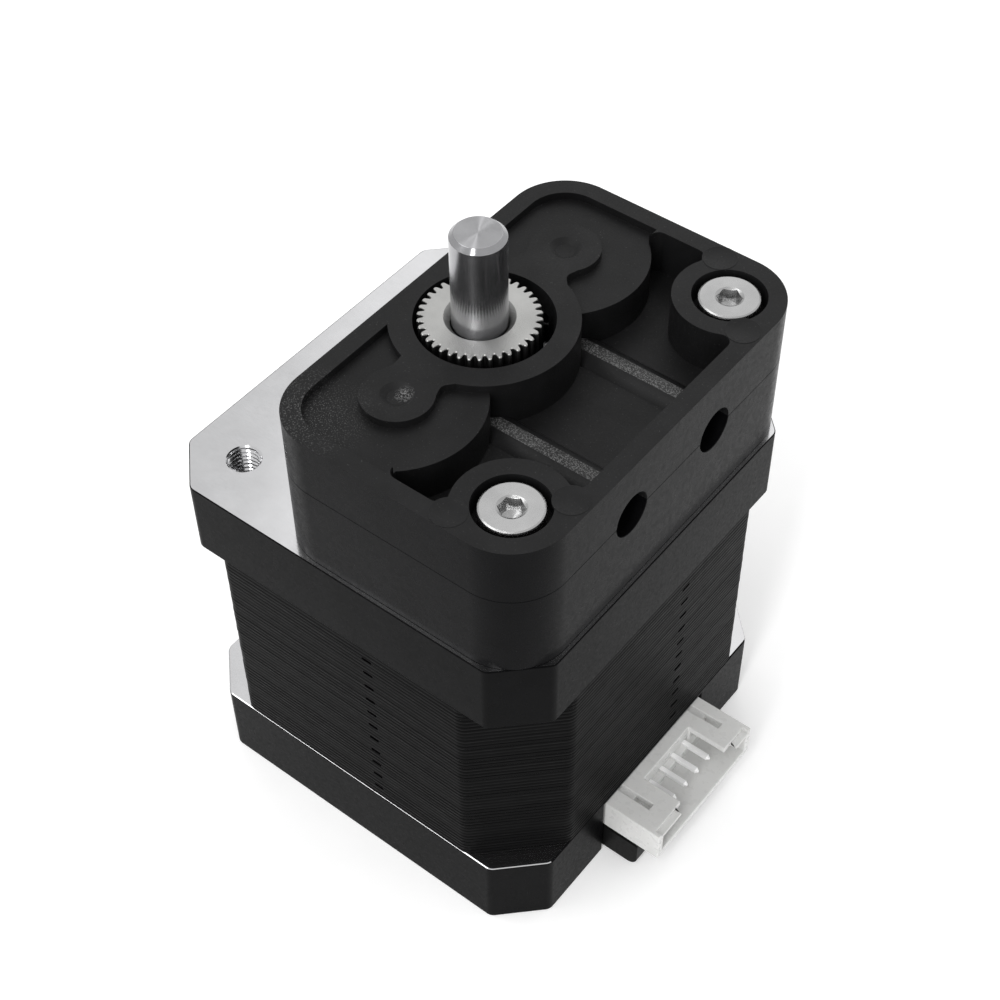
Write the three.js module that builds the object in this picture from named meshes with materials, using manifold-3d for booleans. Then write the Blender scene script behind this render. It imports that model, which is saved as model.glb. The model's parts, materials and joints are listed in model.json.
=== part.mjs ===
// Filament feeder drive: a 42 mm stepper motor with a two-piece plastic feeder body on its face.
// The toothed drive gear on the motor shaft grips two filaments, one against each grooved idler wheel.
// Millimetres. +Z runs along the motor shaft, the origin is on the shaft axis at the motor's rear face,
// +X points to the side with the electrical connector, and the two idlers lie at -Y (left) and +Y (right).

import * as THREE from 'three';
import { mergeVertices } from 'three/addons/utils/BufferGeometryUtils.js';
import Module from 'manifold-3d';

const wasm = await Module();
wasm.setup();

// Driving dimensions of the motor
const MOTOR_WIDTH = 42.3;
const BELL_CHAMFER = 4.2;
const STACK_WIDTH = 42.26;
const STACK_CHAMFER = 7.1;
const REAR_BELL_TOP = 8.7;
const STACK_TOP = 32;
const MOTOR_FACE = 40;
const PILOT_RADIUS = 11;
const PILOT_TOP = 42;
const SCREW_OFFSET = 15.5;
const CAVITY_RADIUS = 18.3;
const REAR_FLOOR = 3;
const FRONT_ROOF = 37;
const SHAFT_HOLE_RADIUS = 5.2;
const THREAD_HOLE_RADIUS = 1.5;
const THREAD_COUNTERSINK = { root: 1.35, mouth: 1.85, depth: 0.4 };
const HEAD_POCKET = { radius: 3.1, depth: 2.9 };
const BEARING_SEAT_RADIUS = 10.2;
const BEARING_LIP = 0.8;
const SHAFT_RADIUS = 2.5;
const SHAFT_START = 1.6;
const SHAFT_END = 64.3;
const SHAFT_CHAMFER = 0.4;

// Driving dimensions of the stator and rotor
const POLE_COUNT = 8;
const POLE_HALF_WIDTH = 1.9;
const POLE_TEETH = 6;
const SHOE_OUTER_RADIUS = 12.9;
const SHOE_EDGE_RADIUS = 12.5;
const SHOE_INSET_DEGREES = 1.4;
const ROTOR_TEETH = 50;
const ROTOR_RADIUS = 10.9;
const BORE_RADIUS = 11.2;
const TOOTH_DEPTH = 0.6;
const SLOT_RADIUS = 17.9;
const CUP_LENGTH = 8.6;
const CUP_TIP_SHARE = 0.45;
const MAGNET_LENGTH = 2.6;
const MAGNET_RADIUS = 10;
const MAGNET_GAP = 0.2;
const BOBBIN = { rimOuter: 18.1, rimInner: 17.35, height: 3.2, plate: 1.2, halfWidth: 2.4, linerInner: 1.98 };
const BOBBIN_REACH = { start: 12.2, end: 17.7, liner0: 13.1, liner1: 16.8 };
const BOBBIN_LIP = { start: 12, end: 12.9, halfWidth: 3.6 };

// Driving dimensions of the feeder body
const BODY_X_MIN = -7.6;
const BODY_X_MAX = 20.7;
const BODY_HALF_Y = 20.7;
const BODY_CORNER = 5.6;
const SEAM = 48.9;
const COVER_TOP = 54.8;
const RIM_WIDTH = 1.8;
const RECESS_FLOOR = 54;
const POCKET_FLOOR = 50.2;
const POCKET_START_X = 5.4;
const GEAR_WELL_RADIUS = 6.25;
const RING_RADIUS = 8.4;
const IDLER_OFFSET = 11.7;
const IDLER_WELL_RADIUS = 6.6;
const IDLER_ROOF_RADIUS = 8.1;
const IDLER_WELL_FLOOR = 46;
const IDLER_WELL_ROOF = 52.3;
const IDLER_SEAT = { radius: 2.3, bottom: 46.8, top: 51 };
const PIN_BOSS_RADIUS = 3.25;
const PIN_DIMPLE_DEPTH = 0.35;
const WEB_OUTLINE = [[-2.6, -7], [-2.1, -8.4], [-2.6, -9.6], [-2.6, -11.7],
  [2.8, -11.7], [2.7, -9.6], [2.3, -8.6], [2.6, -7]];
const SCREW_BOSS_RADIUS = 5.1;
const COUNTERBORE_RADIUS = 3.37;
const COUNTERBORE_DEPTH = 2.2;
const HOUSING_ARCH_TOP = 42.3;

// Driving dimensions of the filament path and its wheels
const FILAMENT_OFFSET = 6.1;
const FILAMENT_BORE = 1.2;
const PORT_RADIUS = 2.15;
const PORT_DEPTH = 2;
const RIB_RADIUS = 2.2;
const GEAR_TEETH = 38;
const GEAR_RADIUS = 5.5;
const GEAR_ROOT = 4.9;
const GEAR_BOTTOM = 44;
const GEAR_TOP = 55;
const GEAR_TIP_SHARE = 0.36;
const GEAR_BORE_MOUTH = { radius: 3.25, depth: 0.55 };
const GROOVE_RADIUS = 5.15;
const GROOVE_HALF_WIDTH = 3;
const SET_SCREW_Z = 46.3;
const PIN = { radius: 1.5, bottom: 43.3, top: 53.3, chamfer: 0.25 };
const PIN_HOLE = { radius: 1.6, bottom: 43, top: 53.6 };
const BODY_SCREW = { head: 2.8, headHeight: 2, sink: 0.15, tip: 36.6, socket: 2, socketDepth: 1.3 };
const MOTOR_SCREW = { head: 2.75, bottom: 0.6, underHead: 2.6, tip: 35.6 };
const CROSS_RECESS = { halfWidth: 0.3, reach: 1.3, depth: 1.1 };

// Driving dimensions of the connector
const HEADER = { x0: 20, x1: 27.45, y0: -7.9, y1: 8.35, z0: 4.1, z1: 7.87 };
const BASE = { x0: 20, x1: 25.1, y0: -8, y1: 8.4, z0: 0.4, z1: 3.95 };
const HEADER_WALL = { side: 0.8, floor: 0.7 };
const HEADER_BACK_X = 22.6;
const WINDOW_HALF = 3.75;
const MOUTH = { x: 26.7, half: 4.9 };
const LATCH_SLOTS = { x1: 24.8, ys: [[6.3, 7.05], [-5.85, -5.1]] };
const BASE_ROUND = 1.1;
const BOARD = { z0: 3.3, z1: 4.3, x0: 11, shoulderX: 16, x1: 19.5, wide: 8, narrow: 7.6 };
const CONTACT_COUNT = 4;
const CONTACT_PITCH = 2;
const CONTACT_CENTRE_Y = 0.85;
const CONTACT_SIZE = 0.5;
const CONTACT_Z = 6;
const CONTACT_LEG_X = 18.6;
const CONTACT_TIP_X = 25.6;
const CONTACT_HOLE_HALF = 0.4;

// Clearances, how far cutting tools run past the faces they cut, and mesh fineness
const OVERCUT = 0.1;
const REACH = 1;
const WIDE = 30;
const FIT_GAP = 0.25;
const FINE = 36;
const MEDIUM = 20;
const COARSE = 12;
const BOBBIN_SIDES = 24;
const THREAD_RADIUS = 1.45;
const CLEARANCE_HOLE = 1.75;

// ---------- solids from three.js geometry ----------

function signedVolume(geometry) {
  const p = geometry.attributes.position;
  const index = geometry.index;
  const a = new THREE.Vector3();
  const b = new THREE.Vector3();
  const c = new THREE.Vector3();
  let volume = 0;
  for (let i = 0; i < index.count; i += 3) {
    a.fromBufferAttribute(p, index.getX(i));
    b.fromBufferAttribute(p, index.getX(i + 1));
    c.fromBufferAttribute(p, index.getX(i + 2));
    volume += a.dot(b.cross(c)) / 6;
  }
  return volume;
}

// A closed three.js geometry as a manifold solid, turned so that its faces point out.
function solid(source) {
  let geometry = source.clone();
  geometry.deleteAttribute('normal');
  geometry.deleteAttribute('uv');
  geometry = mergeVertices(geometry, 1e-5);
  const triVerts = new Uint32Array(geometry.index.array);
  if (signedVolume(geometry) < 0) {
    for (let i = 0; i < triVerts.length; i += 3) {
      [triVerts[i], triVerts[i + 1]] = [triVerts[i + 1], triVerts[i]];
    }
  }
  const vertProperties = new Float32Array(geometry.attributes.position.array);
  return new wasm.Manifold(new wasm.Mesh({ numProp: 3, vertProperties, triVerts }));
}

function geometryOf(manifold) {
  const mesh = manifold.getMesh();
  const geometry = new THREE.BufferGeometry();
  geometry.setAttribute('position', new THREE.BufferAttribute(new Float32Array(mesh.vertProperties), 3));
  geometry.setIndex(new THREE.BufferAttribute(new Uint32Array(mesh.triVerts), 1));
  geometry.computeVertexNormals();
  return geometry;
}

function joined(parts) {
  return parts.reduce((whole, part) => whole.add(part));
}

function cut(body, tools) {
  return tools.reduce((whole, tool) => whole.subtract(tool), body);
}

function box(x0, x1, y0, y1, z0, z1) {
  const geometry = new THREE.BoxGeometry(x1 - x0, y1 - y0, z1 - z0);
  geometry.translate((x0 + x1) / 2, (y0 + y1) / 2, (z0 + z1) / 2);
  return solid(geometry);
}

// An upright cylinder, or a cone where the two radii differ.
function cylinder(radius, z0, z1, { x = 0, y = 0, sides = MEDIUM, top = radius } = {}) {
  const geometry = new THREE.CylinderGeometry(top, radius, z1 - z0, sides);
  geometry.rotateX(Math.PI / 2);
  geometry.translate(x, y, (z0 + z1) / 2);
  return solid(geometry);
}

function cylinderAlongX(radius, x0, x1, y, z, sides = MEDIUM) {
  const geometry = new THREE.CylinderGeometry(radius, radius, x1 - x0, sides);
  geometry.rotateZ(Math.PI / 2);
  geometry.translate((x0 + x1) / 2, y, z);
  return solid(geometry);
}

function prism(points, z0, z1, holes = []) {
  const shape = new THREE.Shape(points.map(([x, y]) => new THREE.Vector2(x, y)));
  for (const hole of holes) {
    shape.holes.push(new THREE.Path(hole.map(([x, y]) => new THREE.Vector2(x, y))));
  }
  const geometry = new THREE.ExtrudeGeometry(shape, { depth: z1 - z0, bevelEnabled: false });
  geometry.translate(0, 0, z0);
  return solid(geometry);
}

// A closed profile of [radius, height] points turned about the Z axis.
function turned(profile, sides = MEDIUM) {
  const points = [...profile, profile[0]].map(([r, z]) => new THREE.Vector2(r, z));
  const geometry = new THREE.LatheGeometry(points, sides);
  geometry.rotateX(Math.PI / 2);
  return solid(geometry);
}

// ---------- outlines ----------

function polar(radius, degrees) {
  const angle = THREE.MathUtils.degToRad(degrees);
  return [radius * Math.cos(angle), radius * Math.sin(angle)];
}

function circle(radius, sides, x = 0, y = 0) {
  return Array.from({ length: sides }, (_, i) => {
    const [dx, dy] = polar(radius, (i * 360) / sides);
    return [x + dx, y + dy];
  });
}

function chamferedSquare(width, chamfer) {
  const h = width / 2;
  const c = h - chamfer;
  return [[h, -c], [h, c], [c, h], [-c, h], [-h, c], [-h, -c], [-c, -h], [c, -h]];
}

function roundedRectangle(x0, x1, y0, y1, radius, steps = 6) {
  const corners = [[x1 - radius, y0 + radius, -90], [x1 - radius, y1 - radius, 0],
    [x0 + radius, y1 - radius, 90], [x0 + radius, y0 + radius, 180]];
  return corners.flatMap(([cx, cy, start]) => Array.from({ length: steps + 1 }, (_, i) => {
    const [dx, dy] = polar(radius, start + (i * 90) / steps);
    return [cx + dx, cy + dy];
  }));
}

// A ring of teeth with flat tips and V-shaped roots. tipShare is the tip's share of the tooth pitch.
function toothedCircle(count, tip, root, tipShare, turn = 0) {
  const pitch = 360 / count;
  return Array.from({ length: count }, (_, i) => {
    const centre = turn + i * pitch;
    return [polar(tip, centre - (pitch * tipShare) / 2), polar(tip, centre + (pitch * tipShare) / 2),
      polar(root, centre + pitch / 2)];
  }).flat();
}

const SCREW_CORNERS = [[1, -1], [1, 1], [-1, 1], [-1, -1]]
  .map(([x, y]) => [x * SCREW_OFFSET, y * SCREW_OFFSET]);
const SIDES = [{ name: 'left', y: -1 }, { name: 'right', y: 1 }];

// ---------- motor casing ----------

const BEARING = { bore: 2.7, innerTop: 4.1, outerBottom: 6.6, outer: 8, width: 5, pitch: 5.35, ball: 1.35 };
const REAR_BEARING_Z = 2;
const REAR_POCKET_FLOOR = 1.3;
const FRONT_BEARING_Z = 36;
const WINDOW_GAP = 0.35;
const POCKET_RADIUS = BEARING.outer + FIT_GAP;

function frontEndBell() {
  const casing = joined([
    prism(chamferedSquare(MOTOR_WIDTH, BELL_CHAMFER), STACK_TOP, MOTOR_FACE),
    cylinder(PILOT_RADIUS, MOTOR_FACE - REACH, PILOT_TOP, { sides: FINE }),
  ]);
  const hollow = cut(cylinder(CAVITY_RADIUS, STACK_TOP - OVERCUT, FRONT_ROOF, { sides: FINE }), [
    cylinder(BEARING_SEAT_RADIUS, FRONT_BEARING_Z - BEARING_LIP, FRONT_ROOF + REACH, { sides: MEDIUM }),
  ]);
  const pocketTop = FRONT_BEARING_Z + BEARING.width + FIT_GAP;
  const threads = SCREW_CORNERS.flatMap(([x, y]) => [
    cylinder(THREAD_HOLE_RADIUS, STACK_TOP - OVERCUT, MOTOR_FACE + OVERCUT, { x, y, sides: COARSE }),
    cylinder(THREAD_COUNTERSINK.root, MOTOR_FACE - THREAD_COUNTERSINK.depth, MOTOR_FACE + OVERCUT,
      { x, y, sides: COARSE, top: THREAD_COUNTERSINK.mouth }),
  ]);
  return cut(casing, [
    hollow,
    cylinder(POCKET_RADIUS, STACK_TOP, pocketTop, { sides: MEDIUM }),
    cylinder(SHAFT_HOLE_RADIUS, STACK_TOP, PILOT_TOP + REACH, { sides: MEDIUM }),
    ...threads,
  ]);
}

function rearEndBell() {
  const casing = prism(chamferedSquare(MOTOR_WIDTH, BELL_CHAMFER), 0, REAR_BELL_TOP);
  const hollow = cut(cylinder(CAVITY_RADIUS, REAR_FLOOR, REAR_BELL_TOP + OVERCUT, { sides: FINE }), [
    cylinder(BEARING_SEAT_RADIUS, REAR_FLOOR - REACH, REAR_BEARING_Z + BEARING.width, { sides: MEDIUM }),
  ]);
  const wallX = MOTOR_WIDTH / 2 + OVERCUT;
  const openY0 = HEADER.y0 - WINDOW_GAP;
  const openY1 = HEADER.y1 + WINDOW_GAP;
  const screwHoles = SCREW_CORNERS.flatMap(([x, y]) => [
    cylinder(CLEARANCE_HOLE, -OVERCUT, REAR_BELL_TOP + OVERCUT, { x, y, sides: COARSE }),
    cylinder(HEAD_POCKET.radius, -OVERCUT, HEAD_POCKET.depth, { x, y, sides: MEDIUM }),
  ]);
  return cut(casing, [
    hollow,
    cylinder(POCKET_RADIUS, REAR_POCKET_FLOOR, REAR_BELL_TOP, { sides: MEDIUM }),
    box(BASE.x0 - 0.3, wallX, openY0, openY1, -OVERCUT, REAR_FLOOR + OVERCUT),
    box(BOARD.shoulderX, wallX, openY0, openY1, REAR_FLOOR, HEADER.z1 + FIT_GAP),
    ...screwHoles,
  ]);
}

// ---------- stator ----------

// The bore outline of one pole: its neck, its shoe with teeth, and the slot floor up to the next pole.
function poleOutline(poleAngle) {
  const pitch = 360 / ROTOR_TEETH;
  const neckFoot = THREE.MathUtils.radToDeg(Math.asin(POLE_HALF_WIDTH / SLOT_RADIUS));
  const neckTop = THREE.MathUtils.radToDeg(Math.asin(POLE_HALF_WIDTH / SHOE_OUTER_RADIUS));
  const shoeAngle = (POLE_TEETH / 2) * pitch - SHOE_INSET_DEGREES;
  const points = [polar(SLOT_RADIUS, poleAngle - neckFoot), polar(SHOE_OUTER_RADIUS, poleAngle - neckTop),
    polar(SHOE_EDGE_RADIUS, poleAngle - shoeAngle)];
  for (let tooth = 0; tooth < POLE_TEETH; tooth += 1) {
    const centre = poleAngle + (tooth - (POLE_TEETH - 1) / 2) * pitch;
    points.push(polar(BORE_RADIUS, centre - pitch / 5), polar(BORE_RADIUS, centre + pitch / 5));
    if (tooth < POLE_TEETH - 1) points.push(polar(BORE_RADIUS + TOOTH_DEPTH, centre + pitch / 2));
  }
  points.push(polar(SHOE_EDGE_RADIUS, poleAngle + shoeAngle), polar(SHOE_OUTER_RADIUS, poleAngle + neckTop));
  points.push(polar(SLOT_RADIUS, poleAngle + neckFoot), polar(SLOT_RADIUS, poleAngle + 180 / POLE_COUNT));
  return points;
}

function statorStack() {
  const bore = Array.from({ length: POLE_COUNT }, (_, i) => poleOutline((i * 360) / POLE_COUNT)).flat();
  const screwHoles = SCREW_CORNERS.map(([x, y]) => circle(CLEARANCE_HOLE, COARSE, x, y));
  return prism(chamferedSquare(STACK_WIDTH, STACK_CHAMFER), REAR_BELL_TOP, STACK_TOP, [bore, ...screwHoles]);
}

const COIL = { start: 13.2, end: 16.6, halfWidth: 4.5, overhang: 3.4, corner: 1.6 };
const COIL_EYE = { halfWidth: 2.55, overhang: 1.4, corner: 0.4 };

// One winding, made about the pole that points along +X.
function coil() {
  const outer = roundedRectangle(REAR_BELL_TOP - COIL.overhang, STACK_TOP + COIL.overhang,
    -COIL.halfWidth, COIL.halfWidth, COIL.corner, 2);
  const inner = roundedRectangle(REAR_BELL_TOP - COIL_EYE.overhang, STACK_TOP + COIL_EYE.overhang,
    -COIL_EYE.halfWidth, COIL_EYE.halfWidth, COIL_EYE.corner, 1);
  const upright = prism(outer, COIL.start, COIL.end, [inner]);
  return upright.rotate([0, -90, 0]).mirror([1, 0, 0]);
}

// The insulator at the front end of the stack. The rear one is its mirror image.
function frontBobbin() {
  const top = STACK_TOP + BOBBIN.height;
  const linerBottom = (REAR_BELL_TOP + STACK_TOP) / 2 + MAGNET_GAP;
  const reach = BOBBIN_REACH;
  const rim = cut(cylinder(BOBBIN.rimOuter, STACK_TOP, top, { sides: BOBBIN_SIDES }), [
    cylinder(BOBBIN.rimInner, STACK_TOP - OVERCUT, top + OVERCUT, { sides: BOBBIN_SIDES }),
  ]);
  const liners = SIDES.map((side) => box(reach.liner0, reach.liner1,
    Math.min(side.y * BOBBIN.halfWidth, side.y * BOBBIN.linerInner),
    Math.max(side.y * BOBBIN.halfWidth, side.y * BOBBIN.linerInner), linerBottom, STACK_TOP + OVERCUT));
  const onePole = joined([
    box(reach.start, reach.end, -BOBBIN.halfWidth, BOBBIN.halfWidth, STACK_TOP, STACK_TOP + BOBBIN.plate),
    box(BOBBIN_LIP.start, BOBBIN_LIP.end, -BOBBIN_LIP.halfWidth, BOBBIN_LIP.halfWidth, STACK_TOP, top),
    ...liners,
  ]);
  const poles = Array.from({ length: POLE_COUNT }, (_, i) => onePole.rotate([0, 0, (i * 360) / POLE_COUNT]));
  return joined([rim, ...poles]);
}

function rearBobbin() {
  return frontBobbin().mirror([0, 0, 1]).translate([0, 0, REAR_BELL_TOP + STACK_TOP]);
}

// ---------- rotor ----------

const CUP_BORE = SHAFT_RADIUS + FIT_GAP;
const MAGNET_START = (REAR_BELL_TOP + STACK_TOP - MAGNET_LENGTH) / 2;
const REAR_CUP_START = MAGNET_START - MAGNET_GAP - CUP_LENGTH;
const FRONT_CUP_START = MAGNET_START + MAGNET_LENGTH + MAGNET_GAP;

function rotorCup(z0, turn) {
  const teeth = toothedCircle(ROTOR_TEETH, ROTOR_RADIUS, ROTOR_RADIUS - TOOTH_DEPTH, CUP_TIP_SHARE, turn);
  return prism(teeth, z0, z0 + CUP_LENGTH, [circle(CUP_BORE, MEDIUM)]);
}

function rotorMagnet() {
  const bore = circle(CUP_BORE, MEDIUM);
  return prism(circle(MAGNET_RADIUS, FINE), MAGNET_START, MAGNET_START + MAGNET_LENGTH, [bore]);
}

function motorShaft() {
  const end = SHAFT_RADIUS - SHAFT_CHAMFER;
  return turned([[0, SHAFT_START], [end, SHAFT_START], [SHAFT_RADIUS, SHAFT_START + SHAFT_CHAMFER],
    [SHAFT_RADIUS, SHAFT_END - SHAFT_CHAMFER], [end, SHAFT_END], [0, SHAFT_END]], FINE);
}

// ---------- ball bearings ----------

const RACE_SHARE = 0.9;
const RACE_DEPTH_SHARE = 0.25;
const CAGE_SHARE = 0.3;
const WASHER = { inner: 5.6, outer: 7.8, z0: 1.5, z1: 1.7, wave: 0.12 };
const SHIELD = { gap: 0.12, share: 0.05, rearInset: 0.2, frontInset: 0.45 };

function outerRing(size, z0) {
  const z1 = z0 + size.width;
  const mid = (z0 + z1) / 2;
  const race = size.ball * RACE_SHARE;
  return turned([[size.outer, z0], [size.outer, z1], [size.outerBottom, z1], [size.outerBottom, mid + race],
    [size.outerBottom + size.ball * RACE_DEPTH_SHARE, mid], [size.outerBottom, mid - race],
    [size.outerBottom, z0]]);
}

function innerRing(size, z0) {
  const z1 = z0 + size.width;
  const mid = (z0 + z1) / 2;
  const race = size.ball * RACE_SHARE;
  return turned([[size.bore, z0], [size.innerTop, z0], [size.innerTop, mid - race],
    [size.innerTop - size.ball * RACE_DEPTH_SHARE, mid], [size.innerTop, mid + race], [size.innerTop, z1],
    [size.bore, z1]]);
}

// The balls and the cage that spaces them, as one solid.
function ballSet(size, z0, count) {
  const mid = z0 + size.width / 2;
  const halfCage = size.ball * CAGE_SHARE;
  const cage = turned([[size.pitch - halfCage, mid - halfCage], [size.pitch + halfCage, mid - halfCage],
    [size.pitch + halfCage, mid + halfCage], [size.pitch - halfCage, mid + halfCage]], COARSE);
  const balls = Array.from({ length: count }, (_, i) => {
    const geometry = new THREE.SphereGeometry(size.ball, 6, 4);
    geometry.rotateX(Math.PI / 2);
    const [x, y] = polar(size.pitch, (i * 360) / count);
    geometry.translate(x, y, mid);
    return solid(geometry);
  });
  return joined([cage, ...balls]);
}

function shield(size, z0) {
  const z1 = z0 + size.width * SHIELD.share;
  const inner = size.innerTop + SHIELD.gap;
  const outer = size.outerBottom - SHIELD.gap;
  return turned([[inner, z0], [outer, z0], [outer, z1], [inner, z1]]);
}

// A thin spring washer behind the rear bearing, with three waves round it.
function waveWasher() {
  const { inner, outer, z0, z1, wave } = WASHER;
  const profile = [[inner, z0], [outer, z0], [outer, z1], [inner, z1], [inner, z0]];
  const geometry = new THREE.LatheGeometry(profile.map(([r, z]) => new THREE.Vector2(r, z)), BOBBIN_SIDES);
  geometry.rotateX(Math.PI / 2);
  const p = geometry.attributes.position;
  for (let i = 0; i < p.count; i += 1) {
    const angle = Math.atan2(p.getY(i), p.getX(i));
    p.setZ(i, p.getZ(i) + wave * Math.sin(3 * angle));
  }
  return solid(geometry);
}

// ---------- feeder body ----------

const BODY_OUTLINE = roundedRectangle(BODY_X_MIN, BODY_X_MAX, -BODY_HALF_Y, BODY_HALF_Y, BODY_CORNER);
const RIM_OUTLINE = roundedRectangle(BODY_X_MIN + RIM_WIDTH, BODY_X_MAX - RIM_WIDTH,
  -BODY_HALF_Y + RIM_WIDTH, BODY_HALF_Y - RIM_WIDTH, BODY_CORNER - RIM_WIDTH);

function atIdlers(make) {
  return SIDES.map((side) => make(side.y * IDLER_OFFSET));
}

// The two filament ways that cross the body along X, with a wider tube port at each end.
function filamentWays() {
  return SIDES.flatMap((side) => {
    const y = side.y * FILAMENT_OFFSET;
    return [
      cylinderAlongX(FILAMENT_BORE, BODY_X_MIN - REACH, BODY_X_MAX + REACH, y, SEAM, COARSE),
      cylinderAlongX(PORT_RADIUS, BODY_X_MAX - PORT_DEPTH, BODY_X_MAX + REACH, y, SEAM),
      cylinderAlongX(PORT_RADIUS, BODY_X_MIN - REACH, BODY_X_MIN + PORT_DEPTH, y, SEAM),
    ];
  });
}

function bodyScrewHoles(z0, z1) {
  return SCREW_CORNERS.filter(([x]) => x > 0)
    .map(([x, y]) => cylinder(CLEARANCE_HOLE, z0, z1, { x, y, sides: COARSE }));
}

function feederHousing() {
  const block = prism(BODY_OUTLINE, MOTOR_FACE, SEAM);
  const wells = atIdlers((y) => cylinder(IDLER_WELL_RADIUS, IDLER_WELL_FLOOR, SEAM + REACH,
    { y, sides: FINE }));
  const hollowed = cut(block, [
    cylinder(PILOT_RADIUS + FIT_GAP, MOTOR_FACE - REACH, HOUSING_ARCH_TOP, { sides: FINE }),
    cylinder(GEAR_WELL_RADIUS, MOTOR_FACE, SEAM + REACH, { sides: FINE }),
    ...wells,
    ...filamentWays(),
    ...bodyScrewHoles(MOTOR_FACE - REACH, SEAM + REACH),
  ]);
  const seats = atIdlers((y) => cylinder(IDLER_SEAT.radius, IDLER_WELL_FLOOR - REACH, IDLER_SEAT.bottom,
    { y, sides: COARSE }));
  const pinHoles = atIdlers((y) => cylinder(PIN_HOLE.radius, PIN_HOLE.bottom, SEAM, { y }));
  return cut(joined([hollowed, ...seats]), pinHoles);
}

// The raised web between the ring round the gear and the boss over one idler pin.
function web(side) {
  return prism(WEB_OUTLINE.map(([x, y]) => [x, -side.y * y]), RECESS_FLOOR - REACH, COVER_TOP + REACH);
}

// The shallow recess on the narrow side of the cover, and round each idler roof up to the rim.
function coverRecess(idlerRoofs, kept) {
  const above = COVER_TOP + REACH;
  const narrowSide = box(-WIDE, 0, -WIDE, WIDE, SEAM, above);
  const besideRoofs = SIDES.map((side) => {
    const [y0, y1] = [side.y * IDLER_OFFSET, side.y * WIDE].sort((a, b) => a - b);
    return box(0, POCKET_START_X, y0, y1, SEAM, above);
  });
  const area = joined([narrowSide, ...idlerRoofs, ...besideRoofs]);
  return cut(prism(RIM_OUTLINE, RECESS_FLOOR, above).intersect(area), kept);
}

// The deep pocket on the wide side of the cover.
function coverPocket(kept) {
  const above = COVER_TOP + REACH;
  const area = box(POCKET_START_X, WIDE, -WIDE, WIDE, SEAM, above);
  return cut(prism(RIM_OUTLINE, POCKET_FLOOR, above).intersect(area), kept);
}

// The two half-round ribs over the filament ways, on the pocket's floor.
function filamentRibs() {
  const upperHalf = box(0, WIDE, -WIDE, WIDE, SEAM, COVER_TOP);
  return SIDES.map((side) => cylinderAlongX(RIB_RADIUS, POCKET_START_X, BODY_X_MAX - REACH,
    side.y * FILAMENT_OFFSET, SEAM).intersect(upperHalf));
}

function feederCover() {
  const above = COVER_TOP + REACH;
  const block = prism(BODY_OUTLINE, SEAM, COVER_TOP);
  const bossCentres = SCREW_CORNERS.filter(([x]) => x > 0);
  const idlerRoofs = atIdlers((y) => cylinder(IDLER_ROOF_RADIUS, SEAM - REACH, above, { y, sides: FINE }));
  const ring = cylinder(RING_RADIUS, SEAM - REACH, above, { sides: FINE });
  const pinBosses = atIdlers((y) => cylinder(PIN_BOSS_RADIUS, SEAM - REACH, above, { y }));
  const screwBosses = bossCentres.map(([x, y]) => cylinder(SCREW_BOSS_RADIUS, SEAM - REACH, above,
    { x, y, sides: FINE }));
  const recess = coverRecess(idlerRoofs, [ring, ...pinBosses, ...SIDES.map(web)]);
  const pocket = coverPocket([...idlerRoofs, ring, ...screwBosses]);
  const wells = atIdlers((y) => cylinder(IDLER_WELL_RADIUS, SEAM - REACH, IDLER_WELL_ROOF,
    { y, sides: FINE }));
  const counterbores = bossCentres.map(([x, y]) => cylinder(COUNTERBORE_RADIUS, COVER_TOP - COUNTERBORE_DEPTH,
    above, { x, y }));
  const hollowed = cut(joined([cut(block, [recess, pocket]), ...filamentRibs()]), [
    cylinder(GEAR_WELL_RADIUS, SEAM - REACH, above, { sides: FINE }),
    ...wells,
    ...filamentWays(),
    ...bodyScrewHoles(SEAM - REACH, above),
    ...counterbores,
  ]);
  const seats = atIdlers((y) => cylinder(IDLER_SEAT.radius, IDLER_SEAT.top, IDLER_WELL_ROOF + REACH,
    { y, sides: COARSE }));
  const pinHoles = atIdlers((y) => cylinder(PIN_HOLE.radius, SEAM, PIN_HOLE.top, { y }));
  const dimples = atIdlers((y) => cylinder(PIN.radius, COVER_TOP - PIN_DIMPLE_DEPTH, above, { y }));
  return cut(joined([hollowed, ...seats]), [...pinHoles, ...dimples]);
}

// ---------- drive gear, idlers and fasteners ----------

function driveGear() {
  const teeth = toothedCircle(GEAR_TEETH, GEAR_RADIUS, GEAR_ROOT, GEAR_TIP_SHARE);
  const grooveMouth = GEAR_RADIUS + REACH;
  const groove = turned([[GROOVE_RADIUS, SEAM], [grooveMouth, SEAM - GROOVE_HALF_WIDTH],
    [grooveMouth, SEAM + GROOVE_HALF_WIDTH]], GEAR_TEETH);
  return cut(prism(teeth, GEAR_BOTTOM, GEAR_TOP), [
    groove,
    cylinder(SHAFT_RADIUS + OVERCUT, GEAR_BOTTOM - REACH, GEAR_TOP + REACH, { sides: FINE }),
    cylinder(SHAFT_RADIUS, GEAR_TOP - GEAR_BORE_MOUTH.depth, GEAR_TOP + OVERCUT,
      { sides: FINE, top: GEAR_BORE_MOUTH.radius }),
    cylinderAlongX(PIN_HOLE.radius, 0, grooveMouth, 0, SET_SCREW_Z, COARSE),
  ]);
}

function hexagon(acrossFlats) {
  return circle(acrossFlats / Math.sqrt(3), 6);
}

function gearSetScrew() {
  const length = 2.1;
  const socketDepth = 1.1;
  const blank = cut(cylinder(THREAD_RADIUS, 0, length, { sides: COARSE }), [
    prism(hexagon(1.5), length - socketDepth, length + OVERCUT),
  ]);
  return blank.rotate([0, 90, 0]).translate([SHAFT_RADIUS + 0.15, 0, SET_SCREW_Z]);
}

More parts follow.
